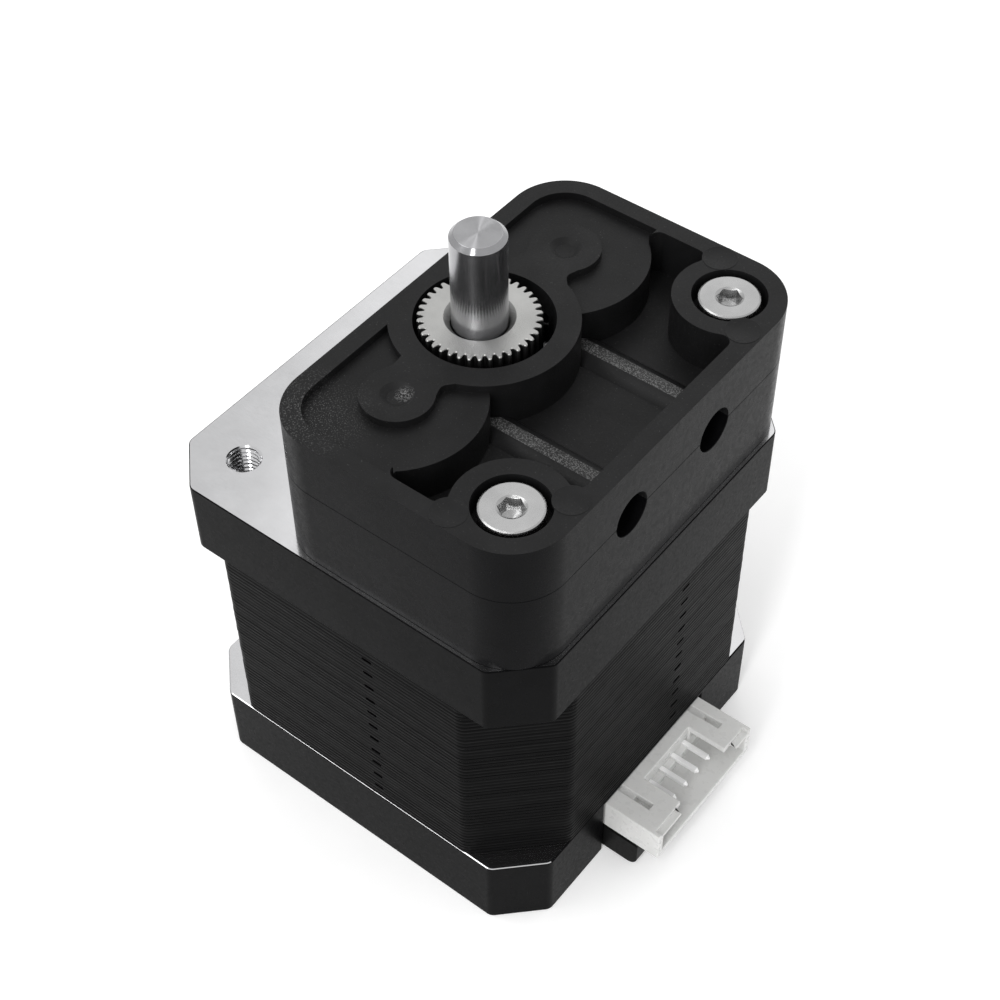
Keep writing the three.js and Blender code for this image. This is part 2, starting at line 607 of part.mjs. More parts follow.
const IDLER = { bore: 1.6, innerTop: 2.4, outerBottom: 4, outer: 6, width: 4, pitch: 3.2, ball: 0.72 };
const IDLER_GROOVE = { bottom: 5, flank: 5.3, mouthHalf: 1.2, flankHalf: 0.8 };
const IDLER_Z = SEAM - IDLER.width / 2;

function idlerWheel() {
  const z1 = IDLER_Z + IDLER.width;
  const race = IDLER.ball * RACE_SHARE;
  const { bottom, flank, mouthHalf, flankHalf } = IDLER_GROOVE;
  return turned([[IDLER.outer, IDLER_Z], [IDLER.outer, SEAM - mouthHalf], [flank, SEAM - flankHalf],
    [bottom, SEAM], [flank, SEAM + flankHalf], [IDLER.outer, SEAM + mouthHalf],
    [IDLER.outer, z1], [IDLER.outerBottom, z1],
    [IDLER.outerBottom, SEAM + race], [IDLER.outerBottom + IDLER.ball * RACE_DEPTH_SHARE, SEAM],
    [IDLER.outerBottom, SEAM - race], [IDLER.outerBottom, IDLER_Z]]);
}

function idlerPin() {
  const end = PIN.radius - PIN.chamfer;
  return turned([[0, PIN.bottom], [end, PIN.bottom], [PIN.radius, PIN.bottom + PIN.chamfer],
    [PIN.radius, PIN.top - PIN.chamfer], [end, PIN.top], [0, PIN.top]], COARSE);
}

// A low-head socket screw through the feeder body into the motor face.
function bodyScrew() {
  const top = COVER_TOP - BODY_SCREW.sink;
  const underHead = top - BODY_SCREW.headHeight;
  const bevel = 0.2;
  const tipBevel = 0.3;
  const blank = turned([[0, BODY_SCREW.tip], [THREAD_RADIUS - tipBevel, BODY_SCREW.tip],
    [THREAD_RADIUS, BODY_SCREW.tip + tipBevel], [THREAD_RADIUS, underHead], [BODY_SCREW.head, underHead],
    [BODY_SCREW.head, top - bevel], [BODY_SCREW.head - bevel, top], [0, top]]);
  return cut(blank, [prism(hexagon(BODY_SCREW.socket), top - BODY_SCREW.socketDepth, top + OVERCUT)]);
}

// A long pan-head screw that clamps the two end bells onto the stack, with a cross recess in its head.
function motorScrew() {
  const { head, bottom, underHead, tip } = MOTOR_SCREW;
  const { halfWidth, reach, depth } = CROSS_RECESS;
  const bevel = 0.4;
  const blank = turned([[0, bottom], [head - bevel, bottom], [head, bottom + bevel], [head, underHead],
    [THREAD_RADIUS, underHead], [THREAD_RADIUS, tip - bevel], [THREAD_RADIUS - bevel, tip],
    [0, tip]], COARSE);
  return cut(blank, [
    box(-reach, reach, -halfWidth, halfWidth, 0, bottom + depth),
    box(-halfWidth, halfWidth, -reach, reach, 0, bottom + depth),
  ]);
}

// ---------- connector ----------

const CONTACT_YS = Array.from({ length: CONTACT_COUNT },
  (_, i) => CONTACT_CENTRE_Y + (i - (CONTACT_COUNT - 1) / 2) * CONTACT_PITCH);

function connectorHeader() {
  const { side, floor } = HEADER_WALL;
  const mouth = HEADER.x1 + OVERCUT;
  const y = CONTACT_CENTRE_Y;
  const shell = box(HEADER.x0, HEADER.x1, HEADER.y0, HEADER.y1, HEADER.z0, HEADER.z1);
  const topCut = [HEADER.z1 - floor - OVERCUT, HEADER.z1 + OVERCUT];
  const slots = LATCH_SLOTS.ys.map(([y0, y1]) => box(HEADER_BACK_X, LATCH_SLOTS.x1, y0, y1, ...topCut));
  const contactHoles = CONTACT_YS.map((contactY) => box(HEADER.x0 - REACH, HEADER_BACK_X + REACH,
    contactY - CONTACT_HOLE_HALF, contactY + CONTACT_HOLE_HALF,
    CONTACT_Z - CONTACT_HOLE_HALF, CONTACT_Z + CONTACT_HOLE_HALF));
  return cut(shell, [
    box(HEADER_BACK_X, mouth, HEADER.y0 + side, HEADER.y1 - side, HEADER.z0 + floor, HEADER.z1 - floor),
    box(HEADER_BACK_X, mouth, y - WINDOW_HALF, y + WINDOW_HALF, ...topCut),
    box(MOUTH.x, mouth, y - MOUTH.half, y + MOUTH.half, ...topCut),
    ...slots,
    ...contactHoles,
  ]);
}

function connectorBase() {
  const { x0, x1, z0, z1 } = BASE;
  const bevel = BASE_ROUND * 0.3;
  const profile = [[x0, z0], [x1 - BASE_ROUND, z0], [x1 - bevel, z0 + bevel], [x1, z0 + BASE_ROUND], [x1, z1],
    [x0, z1]];
  return prism(profile, BASE.y0, BASE.y1).rotate([90, 0, 0]).translate([0, BASE.y0 + BASE.y1, 0]);
}

function terminalBoard() {
  const { x0, shoulderX, x1, wide, narrow } = BOARD;
  const shoulderEnd = shoulderX + wide - narrow;
  const outline = [[x0, -wide], [shoulderX, -wide], [shoulderEnd, -narrow], [x1, -narrow], [x1, narrow],
    [shoulderEnd, narrow], [shoulderX, wide], [x0, wide]];
  const half = CONTACT_HOLE_HALF;
  const holes = CONTACT_YS.map((y) => [[CONTACT_LEG_X - half, y - half], [CONTACT_LEG_X + half, y - half],
    [CONTACT_LEG_X + half, y + half], [CONTACT_LEG_X - half, y + half]]);
  return prism(outline, BOARD.z0, BOARD.z1, holes);
}

// One bent contact: a blade inside the header and a leg down through the board.
function connectorPin(y) {
  const half = CONTACT_SIZE / 2;
  const legX = CONTACT_LEG_X;
  const legBottom = BOARD.z0 - 0.15;
  return joined([
    box(legX - half, CONTACT_TIP_X, y - half, y + half, CONTACT_Z - half, CONTACT_Z + half),
    box(legX - half, legX + half, y - half, y + half, legBottom, CONTACT_Z + half),
  ]);
}

// ---------- materials ----------

function material(color, roughness, metalness) {
  return new THREE.MeshStandardMaterial({ color, roughness, metalness });
}

const MATERIALS = {
  bellAluminium: material(0xb9bcc0, 0.35, 1),
  blackSteel: material(0x1a1a1c, 0.55, 0.3),
  blackPlastic: material(0x232325, 0.6, 0),
  nylon: material(0xd9d9d2, 0.45, 0),
  boardGreen: material(0x1f5a33, 0.5, 0),
  tinned: material(0xdedfe0, 0.25, 1),
  copper: material(0xb4673a, 0.35, 1),
  insulator: material(0xe3ddcb, 0.6, 0),
  magnet: material(0x55575c, 0.4, 0.8),
  steel: material(0xa9abae, 0.25, 1),
  gearSteel: material(0xbfc0c2, 0.4, 1),
  screwSteel: material(0xb0b2b4, 0.35, 1),
  brassCage: material(0xb59a55, 0.4, 1),
};

// ---------- assembly ----------

const assembly = new THREE.Group();

function place(name, manifold, materialOf, x = 0, y = 0, turn = 0) {
  const mesh = new THREE.Mesh(geometryOf(manifold), materialOf);
  mesh.name = name;
  mesh.position.set(x, y, 0);
  mesh.rotation.z = THREE.MathUtils.degToRad(turn);
  assembly.add(mesh);
}

function placeBearing(prefix, size, z0, ballCount) {
  place(`${prefix}_outer_ring`, outerRing(size, z0), MATERIALS.steel);
  place(`${prefix}_inner_ring`, innerRing(size, z0), MATERIALS.steel);
  place(`${prefix}_balls`, ballSet(size, z0, ballCount), MATERIALS.brassCage);
  place(`${prefix}_shield_rear`, shield(size, z0 + SHIELD.rearInset), MATERIALS.steel);
  place(`${prefix}_shield_front`, shield(size, z0 + size.width - SHIELD.frontInset), MATERIALS.steel);
}

place('front_end_bell', frontEndBell(), MATERIALS.bellAluminium);
place('stator_stack', statorStack(), MATERIALS.blackSteel);
place('rear_end_bell', rearEndBell(), MATERIALS.bellAluminium);
place('front_bobbin', frontBobbin(), MATERIALS.insulator);
place('rear_bobbin', rearBobbin(), MATERIALS.insulator);
for (let pole = 0; pole < POLE_COUNT; pole += 1) {
  place(`coil_${pole + 1}`, coil(), MATERIALS.copper, 0, 0, (pole * 360) / POLE_COUNT);
}
SCREW_CORNERS.forEach(([x, y], i) => {
  place(`motor_screw_${i + 1}`, motorScrew(), MATERIALS.screwSteel, x, y);
});
place('wave_washer', waveWasher(), MATERIALS.steel);
placeBearing('rear_bearing', BEARING, REAR_BEARING_Z, 7);
placeBearing('front_bearing', BEARING, FRONT_BEARING_Z, 7);

place('motor_shaft', motorShaft(), MATERIALS.steel);
place('rotor_cup_rear', rotorCup(REAR_CUP_START, 0), MATERIALS.magnet);
place('rotor_magnet', rotorMagnet(), MATERIALS.magnet);
place('rotor_cup_front', rotorCup(FRONT_CUP_START, 180 / ROTOR_TEETH), MATERIALS.magnet);

place('terminal_board', terminalBoard(), MATERIALS.boardGreen);
place('connector_base', connectorBase(), MATERIALS.blackPlastic);
place('connector_header', connectorHeader(), MATERIALS.nylon);
CONTACT_YS.forEach((y, i) => place(`connector_pin_${i + 1}`, connectorPin(y), MATERIALS.tinned));

place('feeder_housing', feederHousing(), MATERIALS.blackPlastic);
place('feeder_cover', feederCover(), MATERIALS.blackPlastic);
place('drive_gear', driveGear(), MATERIALS.gearSteel);
place('gear_set_screw', gearSetScrew(), MATERIALS.screwSteel);
for (const side of SIDES) {
  const y = side.y * IDLER_OFFSET;
  place(`body_screw_${side.name}`, bodyScrew(), MATERIALS.screwSteel, SCREW_OFFSET, side.y * SCREW_OFFSET);
  place(`idler_pin_${side.name}`, idlerPin(), MATERIALS.steel, 0, y);
  place(`idler_inner_ring_${side.name}`, innerRing(IDLER, IDLER_Z), MATERIALS.steel, 0, y);
  place(`idler_wheel_${side.name}`, idlerWheel(), MATERIALS.steel, 0, y);
  place(`idler_balls_${side.name}`, ballSet(IDLER, IDLER_Z, 7), MATERIALS.brassCage, 0, y);
}

export default assembly;
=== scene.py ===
import json
import math
import random

import bmesh
import bpy
from mathutils import Matrix, Vector

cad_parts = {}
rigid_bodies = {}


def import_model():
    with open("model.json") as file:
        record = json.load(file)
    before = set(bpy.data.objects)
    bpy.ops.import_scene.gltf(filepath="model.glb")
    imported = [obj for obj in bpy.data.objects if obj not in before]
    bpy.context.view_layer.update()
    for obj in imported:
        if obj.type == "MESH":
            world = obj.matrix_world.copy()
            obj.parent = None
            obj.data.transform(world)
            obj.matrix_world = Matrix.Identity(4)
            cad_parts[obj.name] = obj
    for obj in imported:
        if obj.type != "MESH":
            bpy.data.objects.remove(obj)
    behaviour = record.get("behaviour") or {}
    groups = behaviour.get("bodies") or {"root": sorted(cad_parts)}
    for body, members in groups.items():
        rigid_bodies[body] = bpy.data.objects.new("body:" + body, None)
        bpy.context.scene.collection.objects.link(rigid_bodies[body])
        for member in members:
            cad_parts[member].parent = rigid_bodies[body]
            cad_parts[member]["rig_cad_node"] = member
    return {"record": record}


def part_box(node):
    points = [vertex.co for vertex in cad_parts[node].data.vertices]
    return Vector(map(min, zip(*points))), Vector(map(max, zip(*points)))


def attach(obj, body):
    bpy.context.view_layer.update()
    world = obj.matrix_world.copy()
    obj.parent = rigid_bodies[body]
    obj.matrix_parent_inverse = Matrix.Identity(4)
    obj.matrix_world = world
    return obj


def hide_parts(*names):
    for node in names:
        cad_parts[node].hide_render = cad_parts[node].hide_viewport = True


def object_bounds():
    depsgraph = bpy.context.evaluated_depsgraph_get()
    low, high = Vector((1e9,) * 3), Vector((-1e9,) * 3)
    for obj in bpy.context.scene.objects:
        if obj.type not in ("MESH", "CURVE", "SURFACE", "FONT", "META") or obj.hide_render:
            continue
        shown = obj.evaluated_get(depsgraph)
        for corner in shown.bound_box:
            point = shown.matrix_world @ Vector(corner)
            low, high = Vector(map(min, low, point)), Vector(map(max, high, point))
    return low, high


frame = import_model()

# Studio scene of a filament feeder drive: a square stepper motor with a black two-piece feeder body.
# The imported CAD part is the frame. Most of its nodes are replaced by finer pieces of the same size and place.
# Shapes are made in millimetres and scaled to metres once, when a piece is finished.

MM = 0.001
CAD_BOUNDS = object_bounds()


def frame_box(node):
    """The lowest and highest corners of a CAD node, in millimetres."""
    low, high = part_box(node)
    return low / MM, high / MM


# ---------- sizes taken from the frame, in millimetres ----------

COVER_LOW, COVER_HIGH = frame_box("feeder_cover")
FRONT_BELL_LOW, FRONT_BELL_HIGH = frame_box("front_end_bell")
REAR_BELL_LOW, REAR_BELL_HIGH = frame_box("rear_end_bell")
STACK_LOW, STACK_HIGH = frame_box("stator_stack")
SHAFT_LOW, SHAFT_HIGH = frame_box("motor_shaft")
GEAR_LOW, GEAR_HIGH = frame_box("drive_gear")
HEADER_LOW, HEADER_HIGH = frame_box("connector_header")
BASE_LOW, BASE_HIGH = frame_box("connector_base")

SEAM = COVER_LOW.z
COVER_TOP = COVER_HIGH.z
MOTOR_FACE = frame_box("feeder_housing")[0].z
MOTOR_HALF = FRONT_BELL_HIGH.x
STACK_HALF = STACK_HIGH.x
SHAFT_RADIUS = SHAFT_HIGH.x
GEAR_RADIUS = GEAR_HIGH.x

# ---------- sizes of features inside the nodes, in millimetres ----------

# motor casing
SCREW_OFFSET = 15.5
BELL_CHAMFER = 4.2
BELL_ROUND = 1.1
STACK_CHAMFER = 7.1
STACK_ROUND = 1.4
LAMINATION_PITCH = 0.5
PILOT_RADIUS = 11
CAVITY_RADIUS = 18.3
REAR_FLOOR = 3
FRONT_ROOF = 37
BEARING_POCKET_RADIUS = 8.25
BEARING_SEAT_RADIUS = 10.2
REAR_POCKET_FLOOR = 1.3
REAR_SEAT_TOP = 7
FRONT_SEAT_BOTTOM = 35.2
FRONT_POCKET_ROOF = 41.25
SHAFT_HOLE_RADIUS = 5.2
SCREW_RECESS_RADIUS = 3.1
SCREW_RECESS_TOP = 2.9
TAPPED_RADIUS = 1.5
HOLE_MOUTH_INNER = 1.35
HOLE_MOUTH_OUTER = 1.8
HOLE_MOUTH_DEPTH = 0.35
CONNECTOR_GAP = 0.35
CONNECTOR_NOTCH_X = 16
OUTER_WALL_FROM = 17.4
THREAD_RADIUS = 1.62
THREAD_DEPTH = 0.32
THREAD_PITCH = 0.5

# feeder body
BODY_CORNER = 5.6
SEAM_GAP = 0.03
PILOT_GAP = 0.25
PILOT_WELL_DEPTH = 2.3
RIM_WIDTH = 1.8
RECESS_FLOOR = 54
POCKET_FLOOR = 50.2
POCKET_START_X = 5.4
POCKET_CORNER = 0.9
GEAR_WELL_RADIUS = 6.25
RING_RADIUS = 8.4
IDLER_OFFSET = 11.7
IDLER_WELL_RADIUS = 6.6
IDLER_WELL_FLOOR = 46
IDLER_WELL_ROOF = 52.3
IDLER_ROOF_RADIUS = 8.1
PIN_BOSS_RADIUS = 3.25
PIN_RADIUS = 1.5
PIN_CHAMFER = 0.3
PIN_HOLE_RADIUS = 1.6
PIN_HOLE_BOTTOM = 43
PIN_HOLE_TOP = 53.6
DIMPLE_FLOOR_RADIUS = 0.9
DIMPLE_RADIUS = 1.58
DIMPLE_DEPTH = 0.38
SCREW_BOSS_RADIUS = 5.1
COUNTERBORE_RADIUS = 3.37
COUNTERBORE_DEPTH = 2.2
CLEARANCE_HOLE = 1.75
FILAMENT_OFFSET = 6.1
FILAMENT_BORE = 1.2
PORT_RADIUS = 2.15
PORT_DEPTH = 2
RIB_RADIUS = 2.2
RIB_FOOT = 0.5
RIB_CREST_LOW = 50.75
RIB_CREST_HIGH = 53

# gear, shaft and screws
GEAR_TEETH = 38
GEAR_ROOT = 4.9
GEAR_GROOVE = 5.15
GEAR_TURN = 166.1
GEAR_MOUTH_RADIUS = 3.18
TOOTH_SHARPNESS = 1.7
TOOTH_WIDENING = 0.12
SHAFT_CHAMFER = 0.42
ROD_RADIUS = 1.45
ROD_THREAD_DEPTH = 0.25

# connector
CONTACT_CENTRE_Y = 0.85
CONTACT_PITCH = 2
CONTACT_Z = 6

SIDES = {"left": -1, "right": 1}

# The moulded rings and bosses of the cover stand this far from the shaft axis and the pin axes.
MOULD_SHIFT_X = 0.35
MOULD_SHIFT_Y = 0.2

# How far tools reach past what they cut, a length wider than the part, and the sides of a large circle.
REACH = 1
WIDE = 30
FINE = 128
FACET_ANGLE = 12


# ---------- mesh tools ----------

def new_object(name, points, faces):
    mesh = bpy.data.meshes.new(name)
    mesh.from_pydata([tuple(p) for p in points], [], faces)
    obj = bpy.data.objects.new(name, mesh)
    bpy.context.scene.collection.objects.link(obj)
    return obj


def cleaned(obj, merge=1e-4):
    """Merges points that lie together and turns the faces out."""
    work = bmesh.new()
    work.from_mesh(obj.data)
    bmesh.ops.remove_doubles(work, verts=work.verts, dist=merge)
    bmesh.ops.dissolve_degenerate(work, edges=work.edges, dist=merge)
    bmesh.ops.recalc_face_normals(work, faces=work.faces)
    work.to_mesh(obj.data)
    work.free()
    return obj


def loft(rings, closed=False):
    """Skins rings with the same number of points. Open lofts get a flat face at both ends."""
    count = len(rings[0])
    points = [p for ring in rings for p in ring]
    faces = []
    steps = len(rings) if closed else len(rings) - 1
    for k in range(steps):
        a = k * count
        b = ((k + 1) % len(rings)) * count
        for i in range(count):
            j = (i + 1) % count
            faces.append((a + i, a + j, b + j, b + i))
    if not closed:
        faces.append(tuple(reversed(range(count))))
        faces.append(tuple(range(len(points) - count, len(points))))
    return cleaned(new_object("loft", points, faces))


def at_height(outline, z):
    return [(x, y, z) for x, y in outline]


def prism(outline, z0, z1):
    return loft([at_height(outline, z0), at_height(outline, z1)])


def polar(radius, degrees):
    angle = math.radians(degrees)
    return radius * math.cos(angle), radius * math.sin(angle)


def circle(radius, sides=96, x=0.0, y=0.0, start=0.0):
    turns = [polar(radius, start + 360 * i / sides) for i in range(sides)]
    return [(x + dx, y + dy) for dx, dy in turns]


def cylinder(radius, z0, z1, x=0.0, y=0.0, sides=96, top=None):
    upper = radius if top is None else top
    ends = ((radius, z0), (upper, z1))
    return loft([at_height(circle(r, sides, x, y), z) for r, z in ends])


def cylinder_along_x(radius, x0, x1, y, z, sides=48):
    return loft([[(x, y + a, z + b) for a, b in circle(radius, sides)] for x in (x0, x1)])


def turned(profile, sides=96, x=0.0, y=0.0):
    """A closed profile of (radius, height) points turned about an upright axis."""
    rings = [at_height(circle(max(r, 0), sides, x, y), z) for r, z in profile]
    return loft(rings, closed=True)


def rounded_polygon(corners, radius, steps=8):
    """A closed outline whose corners are arcs. radius is one number, or one for each corner."""
    radii = radius if isinstance(radius, (list, tuple)) else [radius] * len(corners)
    outline = []
    for i, corner in enumerate(corners):
        here = Vector(corner)
        before = (Vector(corners[i - 1]) - here).normalized()
        after = (Vector(corners[(i + 1) % len(corners)]) - here).normalized()
        half = before.angle(after) / 2
        middle = (before + after).normalized()
        centre = here + middle * (radii[i] / math.sin(half))
        start = here + before * (radii[i] / math.tan(half)) - centre
        sweep = math.pi - 2 * half
        turn = 1 if before.x * after.y - before.y * after.x < 0 else -1
        for k in range(steps + 1):
            angle = turn * sweep * k / steps
            c, s = math.cos(angle), math.sin(angle)
            outline.append((centre.x + c * start.x - s * start.y, centre.y + s * start.x + c * start.y))
    return outline


def rectangle(x0, x1, y0, y1):
    return [(x0, y0), (x1, y0), (x1, y1), (x0, y1)]


def box(x0, x1, y0, y1, z0, z1):
    return prism(rectangle(x0, x1, y0, y1), z0, z1)


def chamfered_square(half, chamfer):
    c = half - chamfer
    return [(half, -c), (half, c), (c, half), (-c, half), (-half, c), (-half, -c), (-c, -half), (c, -half)]


def applied(obj):
    """The object with its modifiers baked into its mesh."""
    graph = bpy.context.evaluated_depsgraph_get()
    mesh = bpy.data.meshes.new_from_object(obj.evaluated_get(graph))
    obj.modifiers.clear()
    old = obj.data
    obj.data = mesh
    bpy.data.meshes.remove(old)
    return obj


def combined(body, tools, operation):
    for tool in tools:
        modifier = body.modifiers.new("combine", "BOOLEAN")
        modifier.operation = operation
        modifier.solver = "EXACT"
        modifier.object = tool
    applied(body)
    for tool in tools:
        mesh = tool.data
        bpy.data.objects.remove(tool)
        bpy.data.meshes.remove(mesh)
    return body


def cut(body, tools):
    return combined(body, tools, "DIFFERENCE")


def joined(body, others):
    return combined(body, others, "UNION")


def kept_inside(body, other):
    return combined(body, [other], "INTERSECT")


def rounded(obj, width, angle=32, clamp=False, merge=0.01):
    """Small round edges where faces meet at more than the angle. Clamp keeps them from crossing."""
    cleaned(obj, merge)
    modifier = obj.modifiers.new("round_edges", "BEVEL")
    modifier.width = width
    modifier.segments = 2
    modifier.limit_method = "ANGLE"
    modifier.angle_limit = math.radians(angle)
    modifier.use_clamp_overlap = clamp
    modifier.loop_slide = False
    return smooth(applied(obj), FACET_ANGLE)


def smooth(obj, angle=30):
    obj.data.shade_smooth()
    obj.data.set_sharp_from_angle(angle=math.radians(angle))
    return obj


def merged(parts):
    """Several solids that touch or stand apart, as one piece."""
    first = parts[0]
    work = bmesh.new()
    for part in parts:
        work.from_mesh(part.data)
    work.to_mesh(first.data)
    work.free()
    for part in parts[1:]:
        mesh = part.data
        bpy.data.objects.remove(part)
        bpy.data.meshes.remove(mesh)
    return first


def threaded(radius, depth, pitch, z0, z1, sides=32, x=0.0, y=0.0, per_turn=8):
    """A rod with a helical thread. Its ends taper to the root over one pitch."""
    rings = []
    count = max(2, round((z1 - z0) / pitch * per_turn))
    for k in range(count + 1):
        z = z0 + (z1 - z0) * k / count
        fade = min(1.0, min(z - z0, z1 - z) / pitch)
        ring = []
        for i in range(sides):
            wave = abs(2 * ((z / pitch - i / sides) % 1.0) - 1)
            r = radius - depth * (1 - fade * wave)
            dx, dy = polar(r, 360 * i / sides)
            ring.append((x + dx, y + dy, z))
        rings.append(ring)
    return loft(rings)


# ---------- finishing pieces ----------

BODY_OF = {n: body for body, nodes in frame["record"]["behaviour"]["bodies"].items() for n in nodes}
SLOT_OF = {row["node"]: row["material_slot"] for row in frame["record"]["subparts"]}


def paint(obj, material, test=None):
    """Gives the material to all faces, or to the faces whose centre and normal pass the test."""
    if test is None:
        obj.data.materials.clear()
        obj.data.materials.append(material)
        return obj
    obj.data.materials.append(material)
    index = len(obj.data.materials) - 1
    for face in obj.data.polygons:
        if test(face.center, face.normal):
            face.material_index = index
    return obj


def finish(obj, name, node):
    """Scales a piece to metres, names it, and lets it stand for its CAD node on that node's body."""
    obj.data.transform(Matrix.Scale(MM, 4))
    obj.name = name
    obj.data.name = name
    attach(obj, BODY_OF[node])
    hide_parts(node)
    return obj


# ---------- camera, floor and lights ----------

CAMERA_TARGET = Vector((0, 0, 0.030))
CAMERA_AZIMUTH = 38.59
CAMERA_ELEVATION = 48.11
CAMERA_ROLL = -0.74
CAMERA_DISTANCE = 0.17839
CAMERA_ASIDE = 0.00153
CAMERA_ABOVE = 0.00079
CAMERA_LENS = 66.73
SENSOR_WIDTH = 36

WORLD_STRENGTH = 0.8
FLOOR_HALF = 3
# azimuth, elevation, distance, width, height and radiance of each lamp, in degrees and metres
LAMPS = {
    "rear_panel": (192, 46, 0.8, 0.75, 0.8, 0.35),
    "key": (-54, 58, 0.9, 0.4, 0.4, 2.5),
    "strip": (15, 34, 0.8, 0.11, 0.9, 11),
}


def direction(azimuth, elevation):
    """The unit vector towards an azimuth and elevation, in degrees. Azimuth 0 is -Y and 90 is +X."""
    a, e = math.radians(azimuth), math.radians(elevation)
    return Vector((math.sin(a) * math.cos(e), -math.cos(a) * math.cos(e), math.sin(e)))


def make_camera():
    back = direction(CAMERA_AZIMUTH, CAMERA_ELEVATION)
    right = direction(CAMERA_AZIMUTH + 90, 0)
    up = back.cross(right)
    place = CAMERA_TARGET + back * CAMERA_DISTANCE + right * CAMERA_ASIDE + up * CAMERA_ABOVE
    c, s = math.cos(math.radians(CAMERA_ROLL)), math.sin(math.radians(CAMERA_ROLL))
    axes = Matrix((c * right + s * up, c * up - s * right, back)).transposed().to_4x4()
    data = bpy.data.cameras.new("camera")
    data.sensor_width = SENSOR_WIDTH
    data.lens = CAMERA_LENS
    data.clip_start = 0.01
    camera = bpy.data.objects.new("camera", data)
    camera.matrix_world = Matrix.Translation(place) @ axes
    bpy.context.scene.collection.objects.link(camera)
    bpy.context.scene.camera = camera


def area_light(name, azimuth, elevation, distance, width, height, radiance):
    """A rectangular lamp that faces the object. radiance 1 looks as bright as white paper."""
    data = bpy.data.lights.new(name, "AREA")
    data.shape = "RECTANGLE"
    data.size = width
    data.size_y = height
    data.energy = radiance * math.pi * width * height
    light = bpy.data.objects.new(name, data)
    towards = direction(azimuth, elevation)
    light.location = CAMERA_TARGET + towards * distance
    light.rotation_euler = towards.to_track_quat("Z", "Y").to_euler()
    bpy.context.scene.collection.objects.link(light)


def make_studio():
    corners = at_height(rectangle(-FLOOR_HALF, FLOOR_HALF, -FLOOR_HALF, FLOOR_HALF), 0)
    floor = new_object("floor", corners, [(0, 1, 2, 3)])
    floor.location.z = CAD_BOUNDS[0].z
    paint(floor, floor_material())
    world = bpy.data.worlds.new("studio")
    world.use_nodes = True
    background = world.node_tree.nodes["Background"]
    background.inputs["Color"].default_value = (1, 1, 1, 1)
    background.inputs["Strength"].default_value = WORLD_STRENGTH
    bpy.context.scene.world = world
    bpy.context.scene.view_settings.view_transform = "Standard"
    for name, numbers in LAMPS.items():
        area_light(name, *numbers)


# ---------- materials ----------

def shader(name, color, roughness, metallic=0.0, **sockets):
    """A material with one Principled shader. Socket names are given with underscores for spaces."""
    material = bpy.data.materials.new(name)
    material.use_nodes = True
    principled = material.node_tree.nodes["Principled BSDF"]
    principled.inputs["Base Color"].default_value = (*color, 1)
    principled.inputs["Roughness"].default_value = roughness
    principled.inputs["Metallic"].default_value = metallic
    for socket, value in sockets.items():
        principled.inputs[socket.replace("_", " ")].default_value = value
    return material


def add(material, kind, values=None, **links):
    """A new shader node with its socket values, fed by the named (node, output) pairs."""
    tree = material.node_tree
    node = tree.nodes.new(kind)
    for key, value in (values or {}).items():
        if isinstance(key, str) and hasattr(node, key):
            setattr(node, key, value)
        else:
            node.inputs[key].default_value = value
    for socket, source in links.items():
        tree.links.new(source, node.inputs[socket.replace("_", " ")])
    return node


def noise(material, feature, detail=3.0, stretch=(1, 1, 1)):
    """Noise whose features are about that many millimetres across, stretched along the axes."""
    where = add(material, "ShaderNodeTexCoord").outputs["Object"]
    mapping = add(material, "ShaderNodeMapping", {"Scale": [1 / s for s in stretch]}, Vector=where)
    values = {"Scale": 1 / (feature * MM), "Detail": detail, "Roughness": 0.55}
    return add(material, "ShaderNodeTexNoise", values, Vector=mapping.outputs["Vector"]).outputs["Fac"]


def between(material, source, low, high, start=0.3, end=0.7):
    """Maps a value from start..end to low..high, without passing them."""
    values = {"From Min": start, "From Max": end, "To Min": low, "To Max": high}
    return add(material, "ShaderNodeMapRange", values, Value=source).outputs["Result"]


def mixed_color(material, factor, color_a, color_b):
    """A colour between two, by a factor. Either colour is three numbers or a node's output."""
    node = add(material, "ShaderNodeMix", {"data_type": "RGBA"})
    # A Mix node's colour sockets are its inputs 6 and 7 and its output 2.
    tree = material.node_tree
    tree.links.new(factor, node.inputs["Factor"])
    for socket, color in ((node.inputs[6], color_a), (node.inputs[7], color_b)):
        if isinstance(color, tuple):
            socket.default_value = (*color, 1)
        else:
            tree.links.new(color, socket)
    return node.outputs[2]


def feed(material, socket, source):
    principled = material.node_tree.nodes["Principled BSDF"]
    material.node_tree.links.new(source, principled.inputs[socket])


def feed_bump(material, height, millimetres):
    values = {"Strength": 1.0, "Distance": millimetres * MM}
    bump = add(material, "ShaderNodeBump", values, Height=height)
    feed(material, "Normal", bump.outputs["Normal"])


def scaled(color, factor):
    return tuple(c * factor for c in color)


BROAD_FEATURE = 3.5


def grained(name, color, roughness, metallic=0.0, grain=0.2, bump=0.004, mottle=0.25, spread=0.08,
            stretch=(1, 1, 1), **sockets):
    """A surface whose colour, gloss and height vary: fine grain over broad mottling."""
    material = shader(name, color, roughness, metallic, **sockets)
    fine = noise(material, grain, 4.0, stretch)
    broad = noise(material, BROAD_FEATURE)
    factor = between(material, broad, 0.0, 1.0)
    feed(material, "Base Color",
         mixed_color(material, factor, scaled(color, 1 - mottle), scaled(color, 1 + mottle)))
    feed(material, "Roughness", between(material, fine, roughness - spread, roughness + spread))
    feed_bump(material, fine, bump)
    return material


